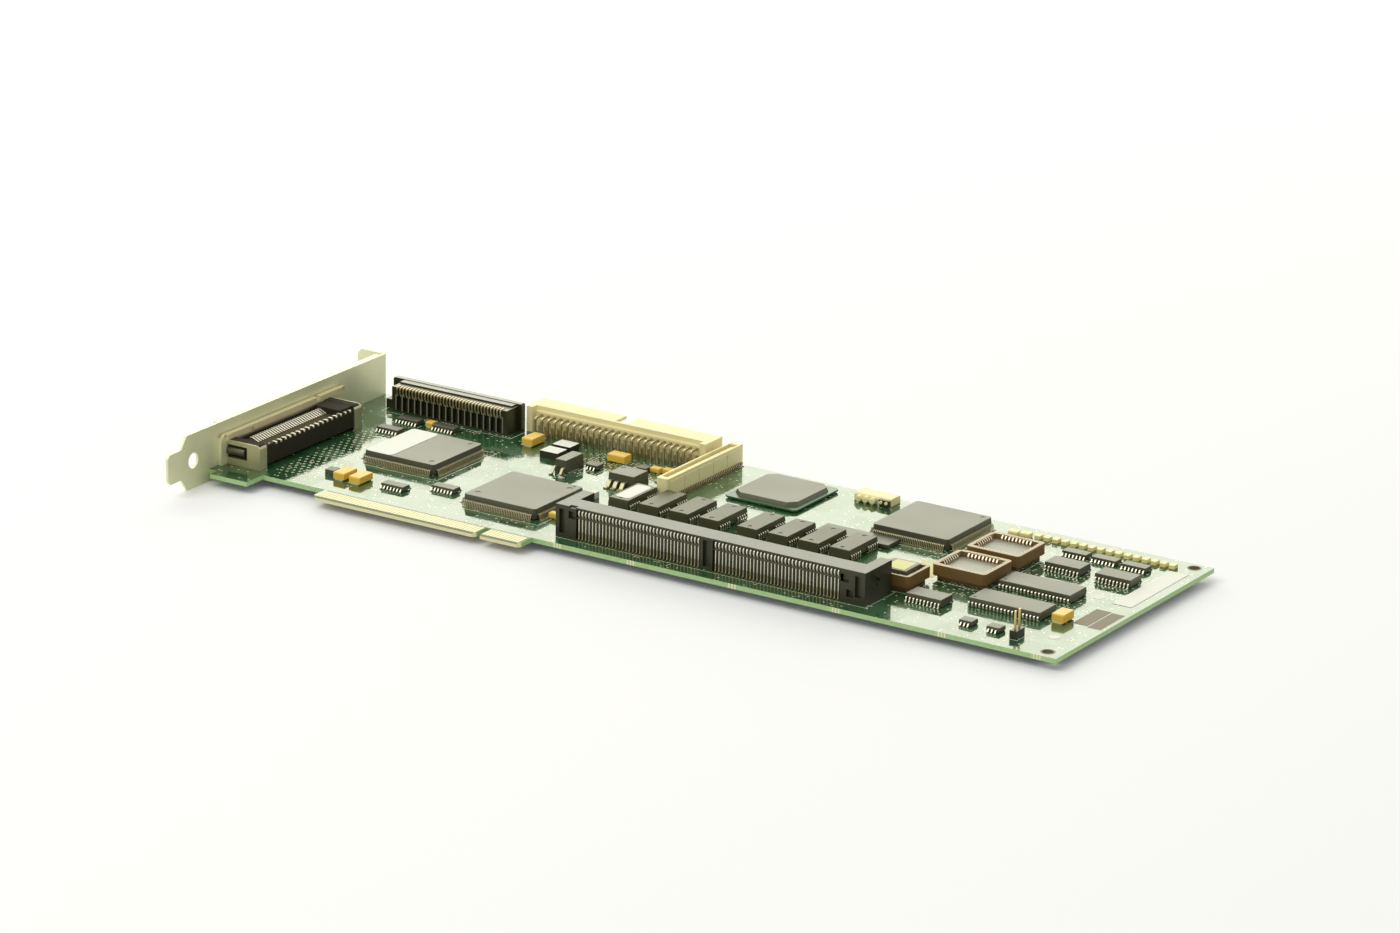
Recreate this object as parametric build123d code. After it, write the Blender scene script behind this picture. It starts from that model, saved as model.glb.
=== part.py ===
from build123d import *
import os

os.makedirs("parts", exist_ok=True)

# All sizes are in millimetres. X runs along the card from the bracket to the far end, Y from the
# finger edge to the top edge, and Z stands up from the component side of the board.

# Board
board_length = 312.0
board_top_edge = 106.68
board_thickness = 1.57
board_near_edge = 7.0
bracket_corner_length = 7.0
bracket_corner_edge = 100.3
heel_length = 18.0
heel_depth = 1.8
heel_relief = 3.3
heel_relief_top = 2.0
retainer_hole_diameter = 3.6
retainer_hole_inset = 5.1
retainer_hole_near_y = 11.1
retainer_hole_far_y = 103.1

# Finger tab
tab_start = 42.9
finger_pitch = 1.27
finger_width = 1.0
finger_length = 5.6
finger_edge_gap = 0.5
finger_thickness = 0.05
finger_margin = 1.45
finger_positions = range(1, 63)
key_positions = (50, 51)
key_slot_width = 1.93
key_slot_top = 6.8
tab_corner = 1.2
tab_bevel = 0.5
cut_margin = 1.0

# Bracket, folded from one sheet
sheet_thickness = 0.86
bracket_width = 18.42
bracket_reach_below_board = 2.6
bracket_top = 100.62
bracket_total = 120.02
screw_tab_depth = 11.43
screw_tab_corner = 1.6
screw_notch_width = 4.42
screw_notch_depth = 5.2
screw_notch_from_face = 6.2
tongue_width = 10.19
tongue_length = 7.0
tongue_taper = 2.9
tongue_corner = 1.3
tongue_hole_diameter = 5.2
tongue_hole_from_tip = 13.3
stiffener_depth = 2.5
stiffener_start = 8.0
stiffener_end_gap = 2.2

# Rear connector
rear_start = 10.2
rear_length = 55.2
rear_front = 14.3
rear_height = 8.3
rear_rim_height = 7.4
rear_floor_height = 6.2
rear_front_wall = 0.9
rear_back_wall = 1.2
rear_end_wall = 3.4
rear_corner = 1.1
rear_foot_height = 1.0
rear_foot_setback = 3.0
rear_flange_start = 6.6
rear_flange_length = 65.6
rear_flange_height = 9.2
rear_flange_thickness = 1.6
rear_mouth_length = 45.6
rear_mouth_height = 7.0
rear_mouth_depth = 4.4
rear_mouth_wall = 0.5
rear_mouth_slope = 1.1
rear_mouth_clearance = 0.4
cover_thickness = 0.5
cover_return = 3.5
cover_corner = 1.6
cover_window_height = 4.4
cover_window_length = 8.0
jackscrew_diameter = 3.0
jackscrew_length = 8.4
jackscrew_head = 4.8
jackscrew_head_length = 4.6
jackscrew_bore = 2.4
jackscrew_bore_depth = 3.4
jackscrew_clearance = 0.1
jackscrew_hole_clearance = 0.2
jackscrew_end_clearance = 0.4
rear_insert_setback = 0.8
rear_insert_slot_depth = 3.4
rear_insert_slot_height = 1.6
rear_insert_slot_inset = 3.0
screw_facets = 12
jackscrew_height = 4.6

# Wide drive connector at the top edge
fine_pitch = 1.27
wide_start = 12.2
wide_length = 46.5
wide_setback = 20.1
wide_depth = 6.5
wide_height = 8.5
wide_flange_depth = 2.1
wide_flange_overhang = 1.5
wide_flange_foot = 4.0
wide_flange_height = 9.4
wide_flange_corner = 0.4
wide_foot_depth = 4.2
wide_foot_height = 3.0
wide_mouth_depth = 4.8
wide_mouth_inset = 0.6
wide_mouth_slope = 1.2
wide_mouth_corner = 1.2
wide_mouth_top = 9.2
wide_mouth_floor = 0.9
wide_contacts = range(34)
wide_contact_width = 0.55
wide_contact_thickness = 0.3
wide_contact_drop = 2.6
wide_comb_depth = 1.1
wide_comb_height = 6.2
wide_comb_floor = 0.5
wide_bays = range(17)
wide_rib_width = 0.6

# Ribbon cable header at the top edge
header_pitch = 2.54
header_columns = range(25)
header_start = 61.2
header_length = 70.4
header_rear = 96.2
header_depth = 8.6
header_height = 8.9
header_wall = 1.15
header_floor = 1.9
header_ledge_height = 7.2
header_ledge_depth = 0.8
header_ear_width = 2.4
header_ear_depth = 1.7
header_key_width = 4.6
header_pin = 0.64
header_upper_pin = 6.2
header_lower_pin = 3.66
header_upper_reach = 4.6
header_lower_reach = 2.06
header_pin_offset = 0.5

# Daughter board connector
daughter_x = 133.6
daughter_width = 4.5
daughter_start = 62.2
daughter_length = 45.1
daughter_height = 7.0
daughter_wall = 0.8
daughter_slot_depth = 4.6
daughter_tongue = 1.1
daughter_end_wall = 2.2
daughter_corner = 0.4
daughter_tongue_gap = 0.8
daughter_tongue_drop = 0.7

# Memory module socket
socket_start = 127.9
socket_length = 113.7
socket_end = socket_start + socket_length
socket_near = 13.3
socket_bar_depth = 7.6
socket_arm_reach = 15.7
socket_arm_width = 4.2
socket_height = 10.6
socket_slot_height = 2.0
socket_slot_depth = 4.6
socket_slot_floor = 6.4
socket_bank = range(36)
socket_bank_gap = 6.35
socket_first_contact = 136.6
socket_pocket_depth = 1.3
socket_pocket_top = 10.0
socket_pocket_margin = 0.9
socket_contact_width = 0.5
socket_contact_thickness = 0.35
socket_contact_inset = 0.35
socket_contact_top = 9.6
socket_foot_length = 1.6
socket_slot_inset = 1.5
socket_window_depth = 1.2
socket_notch = (5.0, 7.6)
socket_notch_depth = 1.6
socket_notch_drop = 0.5
side_slot_length = 7.6
side_slot_width = 2.4
side_slot_angle = 30.0
side_slot_place = (5.4, 7.0)
side_slot_depth = 0.8
# Recesses in its front face: low and high X from the left end, the right end or the key, then low and high Z
left_windows = ((1.4, 3.5, 1.2, 9.2), (4.9, 7.5, 6.6, 9.0))
right_windows = ((-8.9, -5.9, 6.4, 8.9), (-3.6, -1.4, 2.2, 9.1), (-6.7, -4.2, 1.8, 4.1))
key_windows = ((-1.35, 1.35, 1.0, 9.6),)

# Leaded chips
moulding_draft = 7.0
seat_gap = 0.2
quad_size = 28.0
quad_height = 3.5
quad_corner = 0.9
quad_centres = {
    "bus_interface_chip": (49.6, 52.2),
    "drive_channel_chip": (101.1, 34.8),
    "parity_engine_chip": (222.5, 85.8),
}
substrate_size = 27.0
substrate_thickness = 0.6
substrate_centre = (165.0, 88.2)
substrate_ball_gap = 0.5
processor_ball_row = range(5)
processor_ball_size = 0.7
processor_ball_inset = 2.0
substrate_corner = 1.0
mould_size = 24.0
mould_height = 1.3
mould_corner = 3.0
mould_draft = 25.0

memory_chip_length = 17.15
memory_chip_width = 7.6
memory_chip_height = 3.1
memory_seat_gap = 0.75
memory_pitch = 11.36
memory_bank_gap = 2.9
memory_first_x = 130.6
memory_y = 53.4
memory_bank = range(4)
static_chip_length = 25.4
static_chip_width = 10.3
static_chip_height = 2.6
static_chip_centres = {"static_memory_near": (279.4, 37.4), "static_memory_far": (279.2, 56.4)}

wide_logic_length = 12.7
wide_logic_width = 7.0
wide_logic_height = 2.4
wide_logic_from_socket = 7.25
near_logic_x = socket_end + wide_logic_from_socket + wide_logic_length / 2
wide_logic_centres = ((near_logic_x, 28.7), (275.6, 78.4), (293.6, 78.1))
narrow_logic_length = 8.7
narrow_logic_width = 3.9
narrow_logic_height = 1.5
narrow_logic_centres = (
    (24.9, 79.2),
    (25.2, 67.6),
    (39.2, 79.6),
    (60.5, 21.1),
    (74.9, 28.8),
    (271.6, 91.5),
    (282.0, 91.7),
    (292.8, 91.3),
)
small_logic_length = 4.6
small_logic_centres = ((275.3, 18.2), (285.0, 18.0), (101.2, 75.4))

# Chip sockets
chip_socket_length = 19.0
chip_socket_width = 17.2
chip_socket_height = 5.2
chip_socket_well = (14.4, 12.0)
chip_socket_floor = 3.4
chip_socket_base_height = 1.5
chip_socket_base_inset = 1.3
chip_socket_chamfer = 1.6
chip_socket_corner = 0.8
chip_socket_slots = (9, 7)
chip_socket_slot_width = 0.7
chip_socket_slot_depth = 1.2
chip_socket_slot_drop = 1.8
chip_socket_centres = {"chip_socket_front": (255.0, 55.0), "chip_socket_rear": (255.0, 75.8)}
side_socket_size = 13.9
side_socket_well = 10.0
side_socket_floor = 2.2
side_socket_centre = (239.4, 37.9)
side_socket_slots = (5, 5)
socketed_chip_size = 9.6
socketed_chip_height = 3.8

# Power parts
regulator_centre = (118.9, 68.4)
regulator_size = (10.1, 8.8, 4.4)
regulator_leads = (-1, 0, 1)
regulator_lead_offset = -1.0
regulator_lead_width = 1.5
regulator_lead_pitch = 2.6
transistor_centre = (94.6, 70.4)
transistor_size = (4.6, 10.4, 4.4)
transistor_lead_width = 0.9
transistor_lead_offset = 1.6
power_lead_thickness = 0.5
power_lead_reach = 2.6
power_lead_foot = 1.2
power_lead_height = 2.2
power_draft = 3.0
inductor_centres = ((83.0, 85.6), (83.3, 77.9))
inductor_size = (7.0, 5.8, 2.3)

thin_chip_centre = (206.9, 66.2)
thin_chip_size = (26.8, 7.6, 1.2)
filter_block_centre = (117.5, 48.5)
filter_block_size = (2.6, 6.6, 2.2)
diode_centres = ((116.0, 82.0), (35.4, 21.4))
diode_size = (3.6, 3.6, 1.8)

# Capacitors and other small parts: centre x, centre y, length x, length y, height
capacitor_blocks = (
    (41.0, 20.6, 4.3, 7.4, 2.6),
    (47.5, 20.2, 4.3, 7.4, 2.6),
    (70.6, 84.8, 4.3, 7.4, 2.8),
    (103.9, 85.8, 6.8, 4.2, 2.8),
    (119.8, 83.6, 3.6, 2.6, 1.8),
    (123.9, 84.7, 3.6, 2.4, 1.8),
    (118.6, 26.6, 3.2, 2.4, 2.0),
    (297.1, 37.4, 4.2, 6.6, 3.0),
    (33.2, 79.6, 2.8, 2.8, 2.0),
    (245.6, 97.6, 3.4, 2.7, 1.6),
    (249.6, 98.2, 3.4, 2.7, 1.6),
)
capacitor_edge = 0.3
capacitor_terminal = 0.35
capacitor_terminal_length = 1.2
capacitor_terminal_cover = 0.7
row_capacitor_places = range(16)
row_capacitor_start = (253.6, 99.2)
row_capacitor_pitch = 3.2
row_capacitor_size = (1.9, 2.7, 1.3)
chip_part_size = (1.6, 0.8, 0.6)
chip_part_centres = ((112.5, 82.0), (125.4, 77.8), (125.4, 75.6), (15.3, 81.0), (98.0, 60.4))
jumper_centre = (292.7, 17.3)
jumper_base_height = 2.5
jumper_pin_height = 8.6
status_header_start = 186.4
status_header_length = 13.6
status_header_y = (97.6, 103.8)
status_header_height = 2.6
status_first_pin = 2.4
status_pins = range(4)
status_pin_height = 1.3
status_pin_reach = 1.6

wide_front = board_top_edge - wide_setback
bracket_low = -board_thickness - bracket_reach_below_board
bracket_high = bracket_low + bracket_width
bracket_middle = (bracket_low + bracket_high) / 2
bracket_tip = bracket_top - bracket_total
tab_length = 2 * finger_margin + (len(finger_positions) - 1) * finger_pitch
tab_end = tab_start + tab_length
first_finger = tab_start + finger_margin
rear_middle = rear_start + rear_length / 2


def block(x_span, y_span, z_span):
    """A block between two corners, each axis given as its low and high value."""
    size = [span[1] - span[0] for span in (x_span, y_span, z_span)]
    middle = [(span[0] + span[1]) / 2 for span in (x_span, y_span, z_span)]
    return Pos(*middle) * Box(*size)


def around(centre, size, height, floor=0.0):
    """A block on a floor level, centred on a place of the board."""
    x_span = (centre[0] - size[0] / 2, centre[0] + size[0] / 2)
    y_span = (centre[1] - size[1] / 2, centre[1] + size[1] / 2)
    return block(x_span, y_span, (floor, floor + height))


def profile_along_x(points, x_start, x_length):
    """A Y-Z outline drawn out along X."""
    return Pos(x_start, 0, 0) * extrude(Plane.YZ * Polygon(*points, align=None), amount=x_length)


def moulded_body(length, width, height, corner=0.0, gap=seat_gap):
    """A chip body that narrows up and down from the parting line at half its height."""
    parting = Rectangle(length, width)
    if corner:
        parting = chamfer(parting.vertices(), corner)
    upper = extrude(parting, amount=height / 2, taper=moulding_draft)
    lower = extrude(parting, amount=height / 2, dir=(0, 0, -1), taper=moulding_draft)
    return Pos(0, 0, gap + height / 2) * (upper + lower)


def save(shape, name):
    """Write one node, from one solid or from a list of separate solids."""
    if isinstance(shape, list):
        shape = Compound(children=shape)
    export_step(shape, f"parts/{name}.step")


def circuit_board():
    """The board: heel beside the bracket, finger tab with its key slot, and two retainer holes."""
    slot_middle = first_finger + (key_positions[0] - 0.5) * finger_pitch
    slot_low = slot_middle - key_slot_width / 2
    slot_high = slot_middle + key_slot_width / 2
    outline = [
        (heel_relief, -heel_depth),
        (heel_length, -heel_depth),
        (heel_length, board_near_edge),
        (tab_start, board_near_edge),
        (tab_start, tab_corner),
        (tab_start + tab_corner, 0),
        (slot_low - tab_corner, 0),
        (slot_low, tab_corner),
        (slot_low, key_slot_top),
        (slot_high, key_slot_top),
        (slot_high, 0),
        (tab_end - tab_corner, 0),
        (tab_end, tab_corner),
        (tab_end, board_near_edge),
        (board_length, board_near_edge),
        (board_length, board_top_edge),
        (bracket_corner_length, board_top_edge),
        (bracket_corner_length, bracket_corner_edge),
        (0, bracket_corner_edge),
        (0, heel_relief_top),
        (heel_relief, heel_relief_top),
    ]
    board = Pos(0, 0, -board_thickness) * extrude(Polygon(*outline, align=None), amount=board_thickness)
    for hole_y in (retainer_hole_near_y, retainer_hole_far_y):
        hole = Cylinder(retainer_hole_diameter / 2, 3 * board_thickness)
        board -= Pos(board_length - retainer_hole_inset, hole_y, 0) * hole
    for side in (0, -board_thickness):
        inward = -1 if side == 0 else 1
        corner = [(0, side), (0, side + inward * tab_bevel), (tab_bevel, side)]
        board -= profile_along_x(corner, tab_start - cut_margin, tab_length + 2 * cut_margin)
    return board


def edge_fingers(floor):
    """The plated contacts of one side of the tab, with none at the key slot."""
    fingers = []
    near = finger_edge_gap
    for position in finger_positions:
        if position in key_positions:
            continue
        middle = first_finger + (position - 1) * finger_pitch
        x_span = (middle - finger_width / 2, middle + finger_width / 2)
        fingers.append(block(x_span, (near, near + finger_length), (floor, floor + finger_thickness)))
    return fingers


def mounting_bracket():
    """One folded sheet: plate, tapered tongue with a hole, stiffening flange and notched screw tab."""
    shoulder = bracket_tip + tongue_length
    tongue_low = bracket_middle - tongue_width / 2
    tongue_high = bracket_middle + tongue_width / 2
    outline = [
        (bracket_tip, tongue_low + tongue_corner),
        (bracket_tip + tongue_corner, tongue_low),
        (shoulder, tongue_low),
        (shoulder + tongue_taper, bracket_low),
        (bracket_top, bracket_low),
        (bracket_top, bracket_high),
        (shoulder + tongue_taper, bracket_high),
        (shoulder, tongue_high),
        (bracket_tip + tongue_corner, tongue_high),
        (bracket_tip, tongue_high - tongue_corner),
    ]
    plate = profile_along_x(outline, -sheet_thickness, sheet_thickness)
    tongue_hole = Rot(0, 90, 0) * Cylinder(tongue_hole_diameter / 2, 4 * sheet_thickness)
    plate -= Pos(0, bracket_tip + tongue_hole_from_tip, bracket_middle) * tongue_hole
    tab = block(
        (-screw_tab_depth, -sheet_thickness),
        (bracket_top - sheet_thickness, bracket_top),
        (bracket_low, bracket_high),
    )
    tab = chamfer(tab.edges().filter_by(Axis.Y).group_by(Axis.X)[0], screw_tab_corner)
    notch_middle = -screw_notch_from_face
    notch_end = bracket_low + screw_notch_depth - screw_notch_width / 2
    notch = block(
        (notch_middle - screw_notch_width / 2, notch_middle + screw_notch_width / 2),
        (bracket_top - 2 * sheet_thickness, bracket_top + sheet_thickness),
        (bracket_low - cut_margin, notch_end),
    )
    notch += Pos(notch_middle, bracket_top, notch_end) * Rot(90, 0, 0) * Cylinder(screw_notch_width / 2, 4)
    stiffener = block(
        (-stiffener_depth, -sheet_thickness),
        (stiffener_start, bracket_top - sheet_thickness - stiffener_end_gap),
        (bracket_high - sheet_thickness, bracket_high),
    )
    bracket = plate + (tab - notch) + stiffener
    outer_bend = [edge for edge in bracket.edges().filter_by(Axis.Z) if is_bend(edge)]
    bracket = fillet(outer_bend, sheet_thickness)
    for screw_y in jackscrew_places():
        screw_hole = Rot(0, 90, 0) * Cylinder(
            jackscrew_diameter / 2 + jackscrew_hole_clearance,
            4 * sheet_thickness,
        )
        bracket -= Pos(0, screw_y, jackscrew_height) * screw_hole
    opening = rear_mouth_outline(rear_mouth_clearance)
    return bracket - Pos(-2 * sheet_thickness, 0, 0) * extrude(opening, amount=4 * sheet_thickness)


def is_bend(edge):
    """True for the outer edge between the plate and the screw tab."""
    middle = edge.center()
    return abs(middle.X) < 0.01 and abs(middle.Y - bracket_top) < 0.01


def rear_mouth_outline(extra=0.0):
    """The D outline of the rear connector's mouth, in the plane of the bracket."""
    half = rear_mouth_length / 2 + extra
    low = jackscrew_height - rear_mouth_height / 2 - extra
    high = jackscrew_height + rear_mouth_height / 2 + extra
    outline = [
        (rear_middle - half + rear_mouth_slope, low),
        (rear_middle + half - rear_mouth_slope, low),
        (rear_middle + half, high),
        (rear_middle - half, high),
    ]
    return Plane.YZ * Polygon(*outline, align=None)


def rear_connector_flange():
    """The metal shell: a flange plate behind the bracket and the D mouth that passes through it."""
    flange = block(
        (0, rear_flange_thickness),
        (rear_flange_start, rear_flange_start + rear_flange_length),
        (0, rear_flange_height),
    )
    mouth_reach = sheet_thickness + rear_mouth_depth
    mouth = Pos(-mouth_reach, 0, 0) * extrude(rear_mouth_outline(), amount=mouth_reach)
    bore = extrude(rear_mouth_outline(-rear_mouth_wall), amount=mouth_reach + 2 * rear_flange_thickness)
    shell = flange + mouth - Pos(-mouth_reach, 0, 0) * bore
    for screw_y in jackscrew_places():
        hole = Rot(0, 90, 0) * Cylinder(jackscrew_diameter / 2, 4 * rear_flange_thickness)
        shell -= Pos(0, screw_y, jackscrew_height) * hole
    return shell


def jackscrew_places():
    """The Y places of the two jackscrews, midway between the mouth and the flange ends."""
    flange_end = rear_flange_start + rear_flange_length
    near = (rear_flange_start + rear_middle - rear_mouth_length / 2) / 2
    far = (flange_end + rear_middle + rear_mouth_length / 2) / 2
    return near, far


def rear_connector_body():
    """The moulding: end walls, a lower tray between them on a set back foot, and the mouth's tongue."""
    y_span = (rear_start, rear_start + rear_length)
    body = block((rear_flange_thickness, rear_front), y_span, (0, rear_height))
    front_edge = body.edges().filter_by(Axis.Y).group_by(Axis.Z)[-1].sort_by(Axis.X)[-1]
    body = fillet(front_edge, rear_corner)
    between_walls = (y_span[0] + rear_end_wall, y_span[1] - rear_end_wall)
    body -= block(
        (rear_flange_thickness, rear_front + cut_margin),
        between_walls,
        (rear_rim_height, rear_height + cut_margin),
    )
    body -= block(
        (rear_flange_thickness + rear_back_wall, rear_front - rear_front_wall),
        between_walls,
        (rear_floor_height, rear_height + cut_margin),
    )
    body -= block(
        (rear_front - rear_foot_setback, rear_front + cut_margin),
        between_walls,
        (-cut_margin, rear_foot_height),
    )
    for screw_y in jackscrew_places():
        reach = jackscrew_length + jackscrew_end_clearance
        hole = Rot(0, 90, 0) * Cylinder(jackscrew_diameter / 2 + jackscrew_hole_clearance, 2 * reach)
        body -= Pos(0, screw_y, jackscrew_height) * hole
    mouth_reach = sheet_thickness + rear_mouth_depth
    insert_outline = rear_mouth_outline(-rear_mouth_wall)
    insert_reach = mouth_reach - rear_insert_setback
    insert = Pos(-insert_reach, 0, 0) * extrude(insert_outline, amount=insert_reach + rear_flange_thickness)
    slot_half = rear_mouth_length / 2 - rear_insert_slot_inset
    slot = block(
        (-insert_reach - cut_margin, -insert_reach + rear_insert_slot_depth),
        (rear_middle - slot_half, rear_middle + slot_half),
        (jackscrew_height - rear_insert_slot_height / 2, jackscrew_height + rear_insert_slot_height / 2),
    )
    return body + insert - slot


def rear_connector_cover(end):
    """A metal end cover with rounded top corner, folded round one end of the rear moulding."""
    if end == "near":
        face = rear_start
        y_span = (face - cover_thickness, face + cover_return)
    else:
        face = rear_start + rear_length
        y_span = (face - cover_return, face + cover_thickness)
    cover = block((rear_flange_thickness, rear_front + cover_thickness), y_span, (0, rear_height))
    corner = cover.edges().filter_by(Axis.Y).group_by(Axis.Z)[-1].sort_by(Axis.X)[-1]
    cover = fillet(corner, cover_corner)
    inner_span = (face, y_span[1] + cut_margin) if end == "near" else (y_span[0] - cut_margin, face)
    cover -= block(
        (rear_flange_thickness - cut_margin, rear_front),
        inner_span,
        (-cut_margin, rear_height + cut_margin),
    )
    window = block(
        (rear_flange_thickness - cut_margin, rear_flange_thickness + cover_window_length),
        (face - 2 * cover_thickness, face + 2 * cover_thickness),
        (jackscrew_height - cover_window_height / 2, jackscrew_height + cover_window_height / 2),
    )
    return cover - window


def rear_connector_jackscrews():
    """Two hex headed jackscrews, from outside the bracket through the flange into the moulding."""
    screws = []
    for screw_y in jackscrew_places():
        shank_outline = Plane.YZ * RegularPolygon(jackscrew_diameter / 2 - jackscrew_clearance, screw_facets)
        shank_length = sheet_thickness + jackscrew_length
        shank = Pos(-sheet_thickness, 0, 0) * extrude(shank_outline, amount=shank_length)
        head_outline = Plane.YZ * RegularPolygon(jackscrew_head / 2, 6, major_radius=False)
        head_end = -sheet_thickness - jackscrew_head_length
        head = Pos(head_end, 0, 0) * extrude(head_outline, amount=jackscrew_head_length)
        bore_outline = Plane.YZ * RegularPolygon(jackscrew_bore / 2, screw_facets)
        bore = Pos(head_end, 0, 0) * extrude(bore_outline, amount=jackscrew_bore_depth)
        screws.append(Pos(0, screw_y, jackscrew_height) * (shank + head - bore))
    return screws


def wide_connector_body():
    """Moulding with a comb front, a flange on feet and the D shaped mating block beyond it."""
    x_span = (wide_start, wide_start + wide_length)
    flange_near = wide_front + wide_depth
    flange_far = flange_near + wide_flange_depth
    body = block(x_span, (wide_front, flange_near), (0, wide_height))
    flange_x = (x_span[0] - wide_flange_foot, x_span[1] + wide_flange_overhang)
    flange = block(flange_x, (flange_near, flange_far), (0, wide_flange_height))
    top_corners = flange.edges().filter_by(Axis.Y).group_by(Axis.Z)[-1]
    flange = chamfer(top_corners, wide_flange_corner)
    foot_y = (flange_near - wide_foot_depth, flange_near)
    foot = block((flange_x[0], x_span[0]), foot_y, (0, wide_foot_height))
    mouth_start = x_span[0] + wide_mouth_inset
    mouth_end = x_span[1] - wide_mouth_inset
    mouth_points = [
        (mouth_start, wide_mouth_top),
        (mouth_end, wide_mouth_top),
        (mouth_end - wide_mouth_slope, wide_mouth_floor),
        (mouth_start + wide_mouth_slope, wide_mouth_floor),
    ]
    mouth_outline = Plane.XZ * Polygon(*mouth_points, align=None)
    mouth = Pos(0, flange_far, 0) * extrude(mouth_outline, amount=-wide_mouth_depth)
    mouth_ends = mouth.edges().group_by(Axis.Y)[-1].sort_by(Axis.X)
    mouth = chamfer([mouth_ends[0], mouth_ends[-1]], wide_mouth_corner)
    body += flange + foot + mouth
    comb_start = wide_contact_start() - fine_pitch
    bay = 2 * fine_pitch - wide_rib_width
    for index in wide_bays:
        bay_start = comb_start + index * 2 * fine_pitch + wide_rib_width / 2 + fine_pitch / 2
        cut = block(
            (bay_start, bay_start + bay),
            (wide_front - cut_margin, wide_front + wide_comb_depth),
            (wide_comb_floor, wide_comb_height),
        )
        body -= cut
    return body


def wide_contact_start():
    """The X place of the first contact, with the row centred on the moulding."""
    return wide_start + wide_length / 2 - (len(wide_contacts) - 1) / 2 * fine_pitch


def wide_connector_contacts():
    """Bent contacts that lie on the moulding's front edge and turn down before its comb."""
    thickness = wide_contact_thickness
    top = wide_height + thickness
    low = wide_comb_height
    near = wide_front - thickness
    outline = [
        (wide_front + wide_contact_drop, top),
        (near, top),
        (near, low),
        (wide_front, low),
        (wide_front, wide_height),
        (wide_front + wide_contact_drop, wide_height),
    ]
    contact = profile_along_x(outline, -wide_contact_width / 2, wide_contact_width)
    start = wide_contact_start()
    return [Pos(start + index * fine_pitch, 0, 0) * contact for index in wide_contacts]


def header_column(index):
    """The X place of a column of pins in the ribbon header."""
    middle = header_start + header_length / 2 + header_pin_offset
    return middle + (index - (len(header_columns) - 1) / 2) * header_pitch


def ribbon_header_shroud():
    """Open box that faces the top edge, with a key gap in its upper wall and a ledge at the rear."""
    x_span = (header_start, header_start + header_length)
    y_span = (header_rear, header_rear + header_depth)
    shroud = block(x_span, y_span, (0, header_height))
    well = block(
        (x_span[0] + header_wall, x_span[1] - header_wall),
        (y_span[0] + header_floor, y_span[1] + cut_margin),
        (header_wall, header_height - header_wall),
    )
    ledge = block(
        (x_span[0] + header_ear_width, x_span[1] - header_ear_width),
        (y_span[0] - cut_margin, y_span[0] + header_ledge_depth),
        (header_ledge_height, header_height + cut_margin),
    )
    for ear_x in ((x_span[0], x_span[0] + header_ear_width), (x_span[1] - header_ear_width, x_span[1])):
        shroud += block(ear_x, (y_span[0] - header_ear_depth, y_span[0]), (0, header_height))
    middle = header_start + header_length / 2
    key = block(
        (middle - header_key_width / 2, middle + header_key_width / 2),
        (y_span[0] + header_floor, y_span[1] + cut_margin),
        (header_height - 2 * header_wall, header_height + cut_margin),
    )
    return shroud - well - ledge - key


def ribbon_header_pins():
    """Two rows of right angle pins, from the rear wall of the shroud down to the board."""
    pins = []
    half = header_pin / 2
    far = header_rear
    for reach, height in ((header_upper_reach, header_upper_pin), (header_lower_reach, header_lower_pin)):
        near = header_rear - reach
        outline = [
            (far, height + half),
            (near, height + half),
            (near, 0),
            (near + header_pin, 0),
            (near + header_pin, height - half),
            (far, height - half),
        ]
        pin = profile_along_x(outline, -half, header_pin)
        pins += [Pos(header_column(index), 0, 0) * pin for index in header_columns]
    return pins


def daughter_connector_body():
    """Upright receptacle with a long slot round a central tongue."""
    x_span = (daughter_x, daughter_x + daughter_width)
    y_span = (daughter_start, daughter_start + daughter_length)
    body = block(x_span, y_span, (0, daughter_height))
    corners = body.edges().filter_by(Axis.Z)
    body = chamfer(corners, daughter_corner)
    slot = block(
        (x_span[0] + daughter_wall, x_span[1] - daughter_wall),
        (y_span[0] + daughter_end_wall, y_span[1] - daughter_end_wall),
        (daughter_height - daughter_slot_depth, daughter_height + cut_margin),
    )
    middle = daughter_x + daughter_width / 2
    tongue_inset = daughter_end_wall + daughter_tongue_gap
    tongue = block(
        (middle - daughter_tongue / 2, middle + daughter_tongue / 2),
        (y_span[0] + tongue_inset, y_span[1] - tongue_inset),
        (daughter_height - daughter_slot_depth, daughter_height - daughter_tongue_drop),
    )
    return body - slot + tongue


def socket_contact_places():
    """The X places of the module socket's contacts, as two banks with a gap at the centre key."""
    places = []
    bank_length = (len(socket_bank) - 1) * fine_pitch
    for bank_start in (socket_first_contact, socket_first_contact + bank_length + socket_bank_gap):
        places.append([bank_start + index * fine_pitch for index in socket_bank])
    return places


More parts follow.
